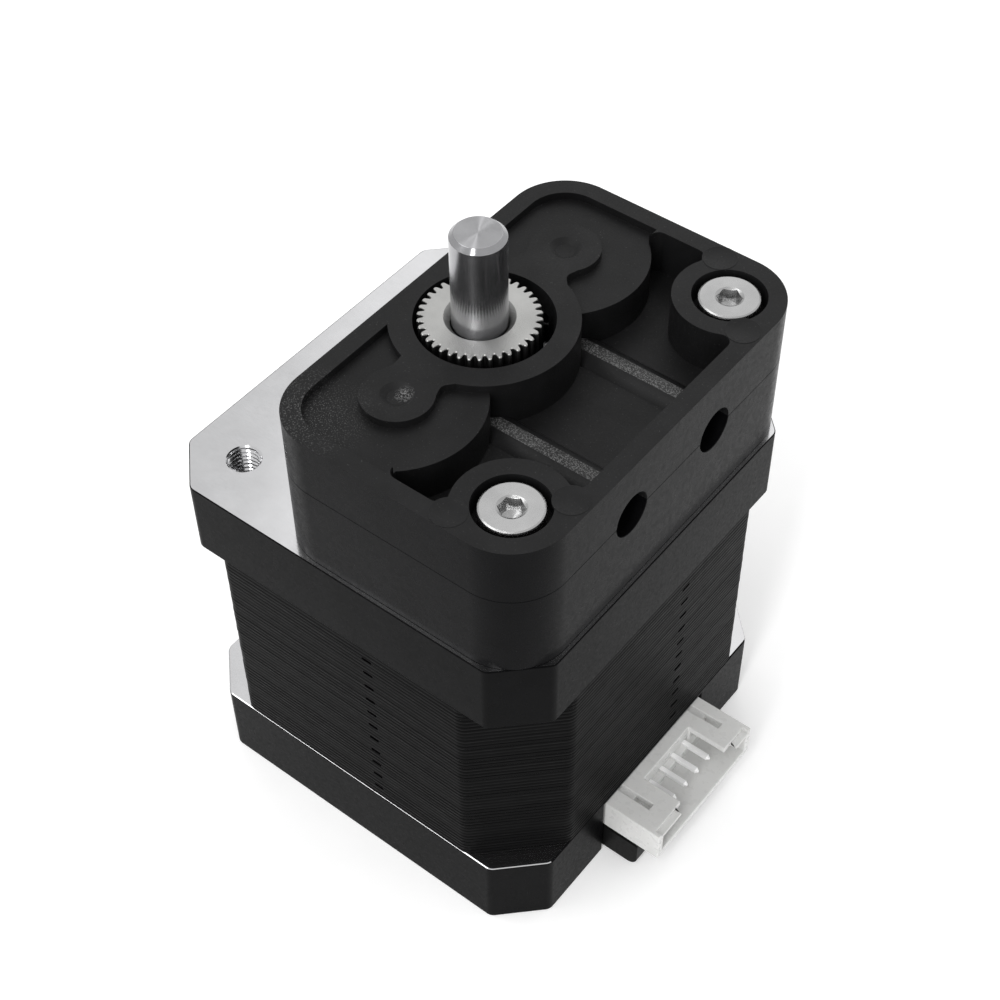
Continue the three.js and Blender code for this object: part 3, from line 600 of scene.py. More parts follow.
def near(material, point, radius):
    """1 at a point given in millimetres, falling to 0 at the radius."""
    where = add(material, "ShaderNodeTexCoord").outputs["Object"]
    values = {"operation": "DISTANCE", 1: [c * MM for c in point]}
    distance = add(material, "ShaderNodeVectorMath", values)
    material.node_tree.links.new(where, distance.inputs[0])
    return between(material, distance.outputs["Value"], 1.0, 0.0, radius * MM * 0.3, radius * MM)


def product(material, a, b):
    node = add(material, "ShaderNodeMath", {"operation": "MULTIPLY"})
    material.node_tree.links.new(a, node.inputs[0])
    material.node_tree.links.new(b, node.inputs[1])
    return node.outputs[0]


def speckled(material, color, feature, amount, centre=None, radius=None):
    """Adds small bright specks to a material's colour, everywhere or only round a centre."""
    principled = material.node_tree.nodes["Principled BSDF"]
    before = principled.inputs["Base Color"].links[0].from_socket
    specks = between(material, noise(material, feature, 1.0), 0.0, 1.0, 1 - amount, 1.1 - amount)
    if centre is not None:
        specks = product(material, specks, near(material, centre, radius))
    feed(material, "Base Color", mixed_color(material, specks, before, color))
    return material


def brushed(material, amount):
    """Streaks the reflections across the turning marks of a part that was turned about +Z."""
    tangent = add(material, "ShaderNodeTangent", {"direction_type": "RADIAL", "axis": "Z"})
    feed(material, "Tangent", tangent.outputs["Tangent"])
    principled = material.node_tree.nodes["Principled BSDF"]
    principled.inputs["Anisotropic"].default_value = amount
    principled.inputs["Anisotropic Rotation"].default_value = 0.25
    return material


def floor_material():
    return grained("floor_paper", (0.88, 0.88, 0.88), 0.9, grain=2.0, bump=0.01, mottle=0.01,
                   Specular_IOR_Level=0.1, Emission_Color=(1, 1, 1, 1), Emission_Strength=0.22)


# Scuffed places on the cover, in millimetres.
CORNER_MARKS = (-4.2, -17.5, 54)
LEFT_DIMPLE = (0.7, -11.0, 54.5)

BLACK_PLASTIC = grained("moulded_black", (0.006, 0.006, 0.0063), 0.5, grain=0.15, bump=0.006, mottle=0.3,
                        Specular_IOR_Level=0.22)
speckled(BLACK_PLASTIC, (0.04, 0.04, 0.04), 0.14, 0.3)
speckled(BLACK_PLASTIC, (0.09, 0.09, 0.09), 0.12, 0.42, CORNER_MARKS, 6)
speckled(BLACK_PLASTIC, (0.16, 0.16, 0.16), 0.12, 0.5, LEFT_DIMPLE, 1.0)
SATIN_PLASTIC = grained("moulded_satin", (0.0025, 0.0025, 0.0028), 0.3, grain=0.5, bump=0.0015,
                        Specular_IOR_Level=0.041)
# Bumpier, speckled plastic for the rib crests: the bump is the crest's texture, the lighter colour a painted
# highlight along the top of the rib.
ROUGH_CREST_HIGHLIGHT = grained("moulded_rough_crest_highlight", (0.02, 0.02, 0.02), 0.5, grain=0.12, bump=0.05, mottle=0.5,
                        Specular_IOR_Level=0.3)
speckled(ROUGH_CREST_HIGHLIGHT, (0.13, 0.13, 0.13), 0.12, 0.5)
BLACK_PAINT = grained("black_paint", (0.0025, 0.0025, 0.0027), 0.33, grain=0.3, bump=0.002,
                      Specular_IOR_Level=0.028)
LAMINATION_PAINT = grained("lamination_paint", (0.002, 0.002, 0.0021), 0.4, grain=0.25, bump=0.003,
                           stretch=(6, 6, 0.5), Specular_IOR_Level=0.026)
MACHINED = grained("machined_aluminium", (0.66, 0.66, 0.67), 0.15, 1.0, grain=0.1, bump=0.0012, mottle=0.04,
                   spread=0.05, stretch=(10, 1, 1))
GROUND_STEEL = brushed(grained("ground_steel", (0.36, 0.36, 0.37), 0.19, 1.0, grain=0.07, bump=0.0008,
                               mottle=0.06, spread=0.05, stretch=(4, 4, 0.4)), 0.88)
TURNED_STEEL = brushed(grained("turned_steel", (0.42, 0.42, 0.43), 0.42, 1.0, grain=0.09, bump=0.002,
                               mottle=0.1, spread=0.08), 0.95)
GEAR_STEEL = grained("gear_steel", (0.47, 0.47, 0.46), 0.36, 1.0, grain=0.1, bump=0.035, mottle=0.1)
# Near-black steel for the gear's flanks below the top edge: painted shade of the dark well round the gear.
FLANK_PAINTED_SHADE = grained("tooth_flank_painted_shade", (0.05, 0.05, 0.05), 0.5, 1.0, grain=0.1, bump=0.01, mottle=0.1)
SCREW_STEEL = grained("screw_steel", (0.44, 0.44, 0.44), 0.3, 1.0, grain=0.1, bump=0.008, mottle=0.1)
BEARING_STEEL = grained("bearing_steel", (0.6, 0.6, 0.61), 0.16, 1.0, grain=0.1, bump=0.0006, mottle=0.04)
ROTOR_STEEL = grained("rotor_steel", (0.3, 0.3, 0.31), 0.35, 1.0, grain=0.15, bump=0.003)
MAGNET = grained("magnet", (0.1, 0.1, 0.105), 0.5, 1.0, grain=0.2, bump=0.004)
NYLON = grained("nylon", (0.61, 0.61, 0.6), 0.3, grain=0.8, bump=0.001, mottle=0.03, Subsurface_Weight=0.3,
                Subsurface_Radius=(1.0, 1.0, 0.95), Subsurface_Scale=0.0005)
TIN = grained("tin_plate", (0.95, 0.95, 0.95), 0.4, 0.45, grain=0.15, bump=0.001, mottle=0.05)
BASE_PLASTIC = grained("base_plastic", (0.004, 0.004, 0.004), 0.4, grain=0.3, bump=0.003,
                       Specular_IOR_Level=0.05)
COPPER = grained("enamelled_copper", (0.62, 0.2, 0.07), 0.25, 1.0, grain=0.2, bump=0.002, Coat_Weight=0.6)
INSULATOR = grained("insulator", (0.72, 0.66, 0.5), 0.5, grain=0.3, bump=0.003)
BOARD = grained("solder_mask", (0.02, 0.13, 0.05), 0.35, grain=0.3, bump=0.002)

MATERIAL_OF_SLOT = {
    "painted_casting": BLACK_PAINT, "stack_paint": LAMINATION_PAINT, "black_plastic": BLACK_PLASTIC,
    "white_nylon": NYLON, "board_green": BOARD, "tinned_contact": TIN, "copper_wire": COPPER,
    "insulator": INSULATOR, "rotor_steel": ROTOR_STEEL, "rotor_magnet": MAGNET, "shaft_steel": GROUND_STEEL,
    "bearing_steel": BEARING_STEEL, "gear_steel": GEAR_STEEL, "screw_steel": SCREW_STEEL,
}


# ---------- feeder body ----------

BODY_CORNERS = rectangle(COVER_LOW.x, COVER_HIGH.x, COVER_LOW.y, COVER_HIGH.y)
BODY_OUTLINE = rounded_polygon(BODY_CORNERS, BODY_CORNER, 20)
RIM_END_X = COVER_HIGH.x - RIM_WIDTH
RIM_HALF_Y = COVER_HIGH.y - RIM_WIDTH
RIM_CORNERS = rectangle(COVER_LOW.x + RIM_WIDTH, RIM_END_X, -RIM_HALF_Y, RIM_HALF_Y)
RIM_OUTLINE = rounded_polygon(RIM_CORNERS, BODY_CORNER - RIM_WIDTH, 16)
BOSS_CENTRES = [(SCREW_OFFSET, side * SCREW_OFFSET) for side in SIDES.values()]
WEB_CORNERS = [(-2.9, 6.6), (-2.5, 9.2), (-3.3, 11.7), (3.3, 11.7), (2.3, 8.7), (4.2, 6.6)]
WEB_ROUNDS = [0.1, 1.2, 0.1, 0.1, 0.8, 0.1]


def at_idlers(make):
    return [make(side * IDLER_OFFSET) for side in SIDES.values()]


def filament_ways():
    tools = []
    for side in SIDES.values():
        y = side * FILAMENT_OFFSET
        x0, x1 = COVER_LOW.x, COVER_HIGH.x
        tools.append(cylinder_along_x(FILAMENT_BORE, x0 - REACH, x1 + REACH, y, SEAM, sides=24))
        tools.append(cylinder_along_x(PORT_RADIUS, x1 - PORT_DEPTH, x1 + REACH, y, SEAM))
        tools.append(cylinder_along_x(PORT_RADIUS, x0 - REACH, x0 + PORT_DEPTH, y, SEAM))
    return tools


def screw_holes(z0, z1):
    return [cylinder(CLEARANCE_HOLE, z0, z1, x, y, sides=48) for x, y in BOSS_CENTRES]


def feeder_housing():
    block = prism(BODY_OUTLINE, MOTOR_FACE, SEAM - SEAM_GAP)
    tools = [
        cylinder(PILOT_RADIUS + PILOT_GAP, MOTOR_FACE - REACH, MOTOR_FACE + PILOT_WELL_DEPTH),
        cylinder(GEAR_WELL_RADIUS, MOTOR_FACE, SEAM + REACH),
        *at_idlers(lambda y: cylinder(IDLER_WELL_RADIUS, IDLER_WELL_FLOOR, SEAM + REACH, 0, y)),
        *filament_ways(),
        *screw_holes(MOTOR_FACE - REACH, SEAM + REACH),
        *at_idlers(lambda y: cylinder(PIN_HOLE_RADIUS, PIN_HOLE_BOTTOM, SEAM, 0, y, sides=48)),
    ]
    body = rounded(cut(block, tools), width=0.12, clamp=True, merge=0.06)
    paint(body, SATIN_PLASTIC)
    return finish(body, "feeder_housing_moulding", "feeder_housing")


def column(radius, x, y, sides=96):
    """A round column from the seam to well above the cover, kept out of a recess."""
    return cylinder(radius, SEAM, COVER_TOP + 2 * REACH, x, y, sides)


def cover_recess():
    """The shallow recess on the narrow side, round the idler roofs and up to the rim."""
    above = COVER_TOP + REACH
    area = box(-WIDE, 0, -WIDE, WIDE, SEAM, above)
    roofs = at_idlers(lambda y: cylinder(IDLER_ROOF_RADIUS, SEAM, above, 0, y, FINE))
    beside = [box(-REACH, POCKET_START_X, *sorted((side * IDLER_OFFSET, side * WIDE)), SEAM, above)
              for side in SIDES.values()]
    joined(area, roofs + beside)
    recess = kept_inside(prism(RIM_OUTLINE, RECESS_FLOOR, above), area)
    kept = [column(RING_RADIUS, MOULD_SHIFT_X, MOULD_SHIFT_Y, FINE)]
    kept += at_idlers(lambda y: column(PIN_BOSS_RADIUS, MOULD_SHIFT_X, y + MOULD_SHIFT_Y))
    for side in SIDES.values():
        corners = [(x + MOULD_SHIFT_X, side * y + MOULD_SHIFT_Y) for x, y in WEB_CORNERS]
        kept.append(prism(rounded_polygon(corners, WEB_ROUNDS), SEAM, above + REACH))
    return cut(recess, kept)


def boss_fillet(side, swapped):
    """Fills the sharp gap between a screw boss and the rim. Swapped gives the one at the +X rim."""
    past_rim = RIM_HALF_Y + 0.4
    round_y = RIM_HALF_Y - POCKET_CORNER
    rise = round_y - SCREW_OFFSET
    reach = SCREW_BOSS_RADIUS + POCKET_CORNER
    round_x = SCREW_OFFSET - math.sqrt(reach ** 2 - rise ** 2)
    share = SCREW_BOSS_RADIUS / reach
    touch = (SCREW_OFFSET + (round_x - SCREW_OFFSET) * share, SCREW_OFFSET + rise * share)
    corners = [(round_x, past_rim), (round_x, round_y), touch, (SCREW_OFFSET, SCREW_OFFSET),
               (SCREW_OFFSET, past_rim)]
    centre = (round_x, round_y)
    if swapped:
        corners = [(y, x) for x, y in corners]
        centre = (round_y, round_x)
    above = COVER_TOP + 2 * REACH
    filler = prism([(x, side * y) for x, y in corners], SEAM, above)
    hollow_side = cylinder(POCKET_CORNER, SEAM - REACH, above + REACH, centre[0], side * centre[1], 64)
    return cut(filler, [hollow_side])


def cover_pocket():
    """The deep pocket on the wide side, round the idler roofs, the ring and the screw bosses."""
    corners = rectangle(POCKET_START_X, RIM_END_X, -RIM_HALF_Y, RIM_HALF_Y)
    pocket = prism(rounded_polygon(corners, POCKET_CORNER), POCKET_FLOOR, COVER_TOP + REACH)
    kept = at_idlers(lambda y: column(IDLER_ROOF_RADIUS, 0, y, FINE))
    kept.append(column(RING_RADIUS, MOULD_SHIFT_X, MOULD_SHIFT_Y, FINE))
    kept += [column(SCREW_BOSS_RADIUS, x, y) for x, y in BOSS_CENTRES]
    kept += [boss_fillet(side, swapped) for side in SIDES.values() for swapped in (False, True)]
    return cut(pocket, kept)


def filament_ribs():
    """The round ribs in the pocket, over the two filament ways."""
    ribs = []
    for side in SIDES.values():
        y = side * FILAMENT_OFFSET
        rib = cylinder_along_x(RIB_RADIUS, POCKET_START_X, COVER_HIGH.x - REACH, y, SEAM, sides=64)
        ribs.append(kept_inside(rib, box(0, WIDE, -WIDE, WIDE, SEAM + RIB_FOOT, COVER_TOP)))
    return ribs


EJECTOR_MARKS = [(12.0, -19.1), (18.9, -12.2), (12.1, 19.1), (18.9, 12.4)]
EJECTOR_RADIUS = 1.6


def ejector_marks():
    """The discs that the mould's ejector pins leave, each with a fine ridge round it."""
    r = EJECTOR_RADIUS
    top = COVER_TOP + 0.006
    ridge = COVER_TOP + 0.03
    root = top - 0.2
    profile = [(0, root), (r, root), (r, ridge - 0.01), (r - 0.03, ridge), (r - 0.07, ridge), (r - 0.1, top),
               (0, top)]
    return [smooth(turned(profile, 64, x, y), angle=50) for x, y in EJECTOR_MARKS]


def feeder_cover():
    above = COVER_TOP + REACH
    block = prism(BODY_OUTLINE, SEAM, COVER_TOP)
    cut(block, [cover_recess(), cover_pocket()])
    joined(block, filament_ribs())
    tools = [
        cylinder(GEAR_WELL_RADIUS, SEAM - REACH, above, MOULD_SHIFT_X, MOULD_SHIFT_Y, FINE),
        *at_idlers(lambda y: cylinder(IDLER_WELL_RADIUS, SEAM - REACH, IDLER_WELL_ROOF, 0, y)),
        *filament_ways(),
        *screw_holes(SEAM - REACH, above),
        *[cylinder(COUNTERBORE_RADIUS, COVER_TOP - COUNTERBORE_DEPTH, above, x, y) for x, y in BOSS_CENTRES],
        *at_idlers(lambda y: cylinder(PIN_HOLE_RADIUS, SEAM - REACH, PIN_HOLE_TOP, 0, y, sides=48)),
        *at_idlers(lambda y: cylinder(DIMPLE_FLOOR_RADIUS, COVER_TOP - DIMPLE_DEPTH, COVER_TOP + 0.05,
                                      MOULD_SHIFT_X, y + MOULD_SHIFT_Y, sides=64, top=DIMPLE_RADIUS)),
    ]
    cut(block, tools)
    body = merged([rounded(block, width=0.1, clamp=True, merge=0.06), *ejector_marks()])
    paint(body, BLACK_PLASTIC)
    # The upward faces of the rib crests: rougher texture with a painted highlight.
    paint(body, ROUGH_CREST_HIGHLIGHT, lambda c, n: on_rib_crest(c) and n.z > 0.95)
    paint(body, SATIN_PLASTIC, lambda c, n: abs(n.z) < 0.5 and outside_body(c))
    return finish(body, "feeder_cover_moulding", "feeder_cover")


def on_rib_crest(c):
    """True near the top of a filament rib, inside the pocket."""
    beside = abs(abs(c.y) - FILAMENT_OFFSET) < RIB_RADIUS
    along = POCKET_START_X < c.x < RIM_END_X
    return beside and along and RIB_CREST_LOW < c.z < RIB_CREST_HIGH


def outside_body(c):
    """True on the outer wall of the feeder body."""
    inset = 0.3
    near_x = c.x < COVER_LOW.x + inset or c.x > COVER_HIGH.x - inset
    near_y = abs(c.y) > COVER_HIGH.y - inset
    corner_x = max(COVER_LOW.x + BODY_CORNER - c.x, c.x - COVER_HIGH.x + BODY_CORNER, 0)
    corner_y = max(abs(c.y) - COVER_HIGH.y + BODY_CORNER, 0)
    return near_x or near_y or math.hypot(corner_x, corner_y) > BODY_CORNER - inset


# ---------- motor casing ----------

BELL_OUTLINE = rounded_polygon(chamfered_square(MOTOR_HALF, BELL_CHAMFER), BELL_ROUND)
SCREW_CORNERS = [(sx * SCREW_OFFSET, sy * SCREW_OFFSET) for sx, sy in ((1, -1), (1, 1), (-1, 1), (-1, -1))]


def hollow(z0, z1, seat0, seat1):
    """The cavity for the windings, with the bearing seat left standing in it."""
    return cut(cylinder(CAVITY_RADIUS, z0, z1), [cylinder(BEARING_SEAT_RADIUS, seat0, seat1)])


def front_bell():
    low, high = FRONT_BELL_LOW.z, MOTOR_FACE
    casing = prism(BELL_OUTLINE, low, high)
    joined(casing, [cylinder(PILOT_RADIUS, high - REACH, FRONT_BELL_HIGH.z, sides=FINE)])
    tools = [
        hollow(low - REACH, FRONT_ROOF, FRONT_SEAT_BOTTOM, FRONT_ROOF + REACH),
        cylinder(BEARING_POCKET_RADIUS, low, FRONT_POCKET_ROOF),
        cylinder(SHAFT_HOLE_RADIUS, low, FRONT_BELL_HIGH.z + REACH),
    ]
    z0, z1 = low - REACH, high + REACH
    for x, y in SCREW_CORNERS:
        # The feeder body covers the two holes on +X, so only the open ones on -X get a thread.
        if x < 0:
            tools.append(threaded(THREAD_RADIUS, THREAD_DEPTH, THREAD_PITCH, z0, z1, 48, x, y))
        else:
            tools.append(cylinder(TAPPED_RADIUS, z0, z1, x, y, sides=32))
        tools.append(cylinder(HOLE_MOUTH_INNER, high - HOLE_MOUTH_DEPTH, high + 0.1, x, y, sides=48,
                              top=HOLE_MOUTH_OUTER))
    body = rounded(cut(casing, tools), width=0.1, angle=50)

    def is_painted(c, n):
        outside = max(abs(c.x), abs(c.y)) > OUTER_WALL_FROM
        return outside and c.z < high - 0.003 and n.z < 0.98

    paint(body, MACHINED)
    paint(body, BLACK_PAINT, is_painted)
    return finish(body, "front_bell_casting", "front_end_bell")


def rear_bell():
    low, high = REAR_BELL_LOW.z, REAR_BELL_HIGH.z
    casing = prism(BELL_OUTLINE, low, high)
    wall = MOTOR_HALF + REACH
    y0, y1 = HEADER_LOW.y - CONNECTOR_GAP, HEADER_HIGH.y + CONNECTOR_GAP
    tools = [
        hollow(REAR_FLOOR, high + REACH, REAR_FLOOR - REACH, REAR_SEAT_TOP),
        cylinder(BEARING_POCKET_RADIUS, REAR_POCKET_FLOOR, high),
        box(BASE_LOW.x - 0.3, wall, y0, y1, low - REACH, REAR_FLOOR + 0.1),
        box(CONNECTOR_NOTCH_X, wall, y0, y1, REAR_FLOOR, HEADER_HIGH.z + 0.25),
    ]
    for x, y in SCREW_CORNERS:
        tools.append(cylinder(CLEARANCE_HOLE, low - REACH, high + REACH, x, y, sides=32))
        tools.append(cylinder(SCREW_RECESS_RADIUS, low - REACH, SCREW_RECESS_TOP, x, y, sides=64))
    edge = 0.14
    body = rounded(cut(casing, tools), width=edge, angle=50)

    def is_bare_except_painted_reflection(c, n):
        """True on the machined top, but not on its rounded edge above the connector, which stays black as a
        painted dark reflection.
        """
        return c.z > high - edge - 0.02 and n.z > 0.6 and c.x < MOTOR_HALF - 0.15

    paint(body, BLACK_PAINT)
    # Bare metal on the top, except the +X edge, whose black is a painted dark reflection.
    paint(body, MACHINED, is_bare_except_painted_reflection)
    return finish(body, "rear_bell_casting", "rear_end_bell")


POLES = 8
TEETH_PER_POLE = 6
STATOR_TOOTH_PITCH = 360 / 50
NECK_HALF_WIDTH = 1.9
SLOT_FLOOR_RADIUS = 17.9
SHOE_BACK_RADIUS = 12.9
SHOE_SIDE_RADIUS = 12.5
STATOR_ROOT_RADIUS = 11.8
STATOR_TIP_RADIUS = 11.2
SLOT_FLOOR_STEPS = 4


def pole_outline(pole_angle):
    """The bore outline of one stator pole, its toothed shoe, and the slot floor up to the next pole."""
    pitch = STATOR_TOOTH_PITCH
    neck_foot = math.degrees(math.asin(NECK_HALF_WIDTH / SLOT_FLOOR_RADIUS))
    neck_top = math.degrees(math.asin(NECK_HALF_WIDTH / SHOE_BACK_RADIUS))
    shoe = TEETH_PER_POLE / 2 * pitch - 1.4
    points = [polar(SLOT_FLOOR_RADIUS, pole_angle - neck_foot),
              polar(SHOE_BACK_RADIUS, pole_angle - neck_top),
              polar(SHOE_SIDE_RADIUS, pole_angle - shoe)]
    for tooth in range(TEETH_PER_POLE):
        centre = pole_angle + (tooth - (TEETH_PER_POLE - 1) / 2) * pitch
        points += [polar(STATOR_TIP_RADIUS, centre + pitch * share) for share in (-0.2, 0.2)]
        if tooth < TEETH_PER_POLE - 1:
            points += [polar(STATOR_ROOT_RADIUS, centre + pitch * share) for share in (0.3, 0.7)]
    points += [polar(SHOE_SIDE_RADIUS, pole_angle + shoe), polar(SHOE_BACK_RADIUS, pole_angle + neck_top)]
    slot = 360 / POLES - 2 * neck_foot
    for k in range(SLOT_FLOOR_STEPS):
        points.append(polar(SLOT_FLOOR_RADIUS, pole_angle + neck_foot + slot * k / SLOT_FLOOR_STEPS))
    return points


def stator_stack():
    """Thin plates one on the other, each a little more or less proud than its neighbours."""
    low, high = STACK_LOW.z, STACK_HIGH.z
    rng = random.Random(4)
    count = round((high - low) / LAMINATION_PITCH)
    pitch = (high - low) / count
    groove = 0.035
    most_inset = 0.025
    rings = []
    for k in range(count):
        z = low + k * pitch
        inset = rng.uniform(0, most_inset)
        for share, depth in ((0.0, groove), (0.16, inset), (0.84, inset), (0.999, groove)):
            outline = rounded_polygon(chamfered_square(STACK_HALF - depth, STACK_CHAMFER), STACK_ROUND)
            rings.append(at_height(outline, z + share * pitch))
    stack = loft(rings)
    bore = [p for k in range(POLES) for p in pole_outline(k * 360 / POLES)]
    tools = [prism(bore, low - REACH, high + REACH)]
    tools += [cylinder(CLEARANCE_HOLE, low - REACH, high + REACH, x, y, sides=32) for x, y in SCREW_CORNERS]
    tools.append(interlock_slots(low))
    cut(stack, tools)
    smooth(stack, angle=25)
    paint(stack, LAMINATION_PAINT)
    return finish(stack, "lamination_stack", "stator_stack")


SLOT_ROWS = 11
SLOT_START = 1.4
SLOT_PITCH = 2.03
SLOT_WIDTH = 1.15
SLOT_HEIGHT = 0.36
SLOT_DEPTH = 0.45
SLOT_OFFSET = 3.3


def interlock_slots(low):
    """The short slots in every fourth lamination, in one upright row on each side."""
    slots = []
    x0, x1 = SLOT_OFFSET - SLOT_WIDTH / 2, SLOT_OFFSET + SLOT_WIDTH / 2
    for quarter in range(4):
        for k in range(SLOT_ROWS):
            z = low + SLOT_START + k * SLOT_PITCH
            outline = rounded_polygon(rectangle(x0, x1, z, z + SLOT_HEIGHT), 0.17, 4)
            depths = (-STACK_HALF - REACH, -STACK_HALF + SLOT_DEPTH)
            slot = loft([[(x, y, height) for x, height in outline] for y in depths])
            slot.data.transform(Matrix.Rotation(math.radians(90 * quarter), 4, "Z"))
            slots.append(slot)
    return merged(slots)


# ---------- shaft, gear and screws ----------

def chamfered_rod(z0, z1, r, chamfer):
    """The profile of a round bar with a chamfer at both ends, for turned()."""
    end = r - chamfer
    return [(0, z0), (end, z0), (r, z0 + chamfer), (r, z1 - chamfer), (end, z1), (0, z1)]


def motor_shaft():
    profile = chamfered_rod(SHAFT_LOW.z, SHAFT_HIGH.z, SHAFT_RADIUS, SHAFT_CHAMFER)
    body = rounded(turned(profile, FINE), width=0.03)
    paint(body, GROUND_STEEL)
    paint(body, TURNED_STEEL, lambda c, n: abs(n.z) > 0.98)
    return finish(body, "motor_shaft_bar", "motor_shaft")


def tooth_radius(degrees):
    """The gear's outline: rounded tips and narrow rounded roots."""
    phase = math.cos(math.radians(GEAR_TEETH * (degrees - GEAR_TURN)))
    steep = math.tanh(TOOTH_SHARPNESS * (phase + TOOTH_WIDENING))
    rise = 0.5 + 0.5 * steep / math.tanh(TOOTH_SHARPNESS * (1 + TOOTH_WIDENING))
    return GEAR_ROOT + (GEAR_RADIUS - GEAR_ROOT) * min(1.0, max(0.0, rise))


def drive_gear():
    """A toothed wheel with a hollow waist at the seam and a conical mouth at the top of its bore."""
    sides = GEAR_TEETH * 16
    angles = [360 * i / sides for i in range(sides)]
    bore = SHAFT_RADIUS + 0.1
    low, high = GEAR_LOW.z, GEAR_HIGH.z
    waist = [(SEAM + rise, 0) for rise in (-1.6, -0.9, -0.45, 0, 0.45, 0.9, 1.6)]
    levels = [(low, 0.18), (low + 0.18, 0), *waist,
              (high - 0.12, 0), (high - 0.04, 0.04), (high, 0.09), (high, 0.16)]
    rings = []
    for z, inset in levels:
        groove = GEAR_GROOVE + (z - SEAM) ** 2 / 6
        rings.append([(*polar(min(tooth_radius(a) - inset, groove), a), z) for a in angles])
    mouth = [(GEAR_MOUTH_RADIUS, high), (GEAR_MOUTH_RADIUS - 0.08, high - 0.06), (bore + 0.06, high - 0.62),
             (bore, high - 0.7), (bore, low)]
    rings += [at_height(circle(r, sides), z) for r, z in mouth]
    body = smooth(loft(rings, closed=True), angle=34)

    def is_flank(c, n):
        return c.z < high - 0.1 and abs(n.z) < 0.5 and c.xy.length > GEAR_ROOT - 0.3

    paint(body, GEAR_STEEL)
    # The flanks below the top edge get near-black steel: painted shade of the dark well round the gear.
    paint(body, FLANK_PAINTED_SHADE, is_flank)
    return finish(body, "drive_gear_toothed", "drive_gear")


def hexagon(across_flats):
    return circle(across_flats / math.sqrt(3), 6, start=30)


BODY_HEAD_RADIUS = 2.8
BODY_HEAD_HEIGHT = 2
SOCKET_WIDTH = 2.05
SOCKET_DEPTH = 1.3
MOTOR_HEAD_RADIUS = 2.75
MOTOR_HEAD_TOP = 2.6
CROSS_HALF_LENGTH = 1.35
CROSS_HALF_WIDTH = 0.3
CROSS_DEPTH = 1.2
CROSS_ROUND = 0.12


def body_screw(name, y):
    low, high = frame_box(name)
    r, top = BODY_HEAD_RADIUS, high.z
    under = top - BODY_HEAD_HEIGHT
    profile = [(0, under), (1.3, under), (r - 0.1, under), (r, under + 0.1), (r, top - 0.2),
               (r - 0.06, top - 0.08), (r - 0.2, top), (r - 0.26, top), (0, top)]
    head = turned(profile)
    socket = prism(hexagon(SOCKET_WIDTH), top - SOCKET_DEPTH, top + REACH)
    dimple = cylinder(0.1, top - 1.6, top - 1.29, sides=36, top=0.9)
    lead_in = cylinder(1.02, top - 0.16, top + 0.04, sides=72, top=1.36)
    cut(head, [socket, dimple, lead_in])
    rounded(head, width=0.025, angle=40)
    rod = smooth(threaded(ROD_RADIUS, ROD_THREAD_DEPTH, THREAD_PITCH, low.z, under + 0.1), angle=60)
    screw = merged([head, rod])
    screw.data.transform(Matrix.Translation((SCREW_OFFSET, y, 0)))
    paint(screw, SCREW_STEEL)
    return finish(screw, name + "_socket_head", name)


def motor_screw(number, x, y):
    """A long screw whose domed head faces down, with a cross recess in it."""
    name = f"motor_screw_{number}"
    low, high = frame_box(name)
    bottom, under, r = low.z, MOTOR_HEAD_TOP, MOTOR_HEAD_RADIUS
    profile = [(0, bottom), (1.5, bottom + 0.02), (2.3, bottom + 0.16), (r - 0.12, bottom + 0.5),
               (r, bottom + 0.9), (r, under), (0, under)]
    head = turned(profile, 64)
    wing = rectangle(-CROSS_HALF_LENGTH, CROSS_HALF_LENGTH, -CROSS_HALF_WIDTH, CROSS_HALF_WIDTH)
    wings = [wing, [(-b, a) for a, b in wing]]
    recess = [prism(rounded_polygon(w, CROSS_ROUND, 4), bottom - REACH, bottom + CROSS_DEPTH) for w in wings]
    rounded(cut(head, recess), width=0.05, angle=40)
    rod = threaded(ROD_RADIUS, ROD_THREAD_DEPTH, THREAD_PITCH, under - 0.1, high.z, 24, per_turn=6)
    screw = merged([head, smooth(rod, angle=60)])
    screw.data.transform(Matrix.Translation((x, y, 0)))
    paint(screw, SCREW_STEEL)
    return finish(screw, name + "_pan_head", name)


# ---------- connector ----------

CONTACT_YS = [CONTACT_CENTRE_Y + share * CONTACT_PITCH for share in (-1.5, -0.5, 0.5, 1.5)]


HEADER_BACK_X = 22.6
HEADER_STEP_X = 26.7
HEADER_WALL = 0.8
HEADER_ROOF = 0.7
WINDOW_Y = (-3.2, 4.6)
MOUTH_Y = (CONTACT_CENTRE_Y - 4.9, CONTACT_CENTRE_Y + 4.9)
LATCH_SLOTS_Y = ((6.3, 7.05), (-5.85, -5.1))
LATCH_SLOT_END_X = 24.8
CONTACT_SLOT_HALF = 0.26


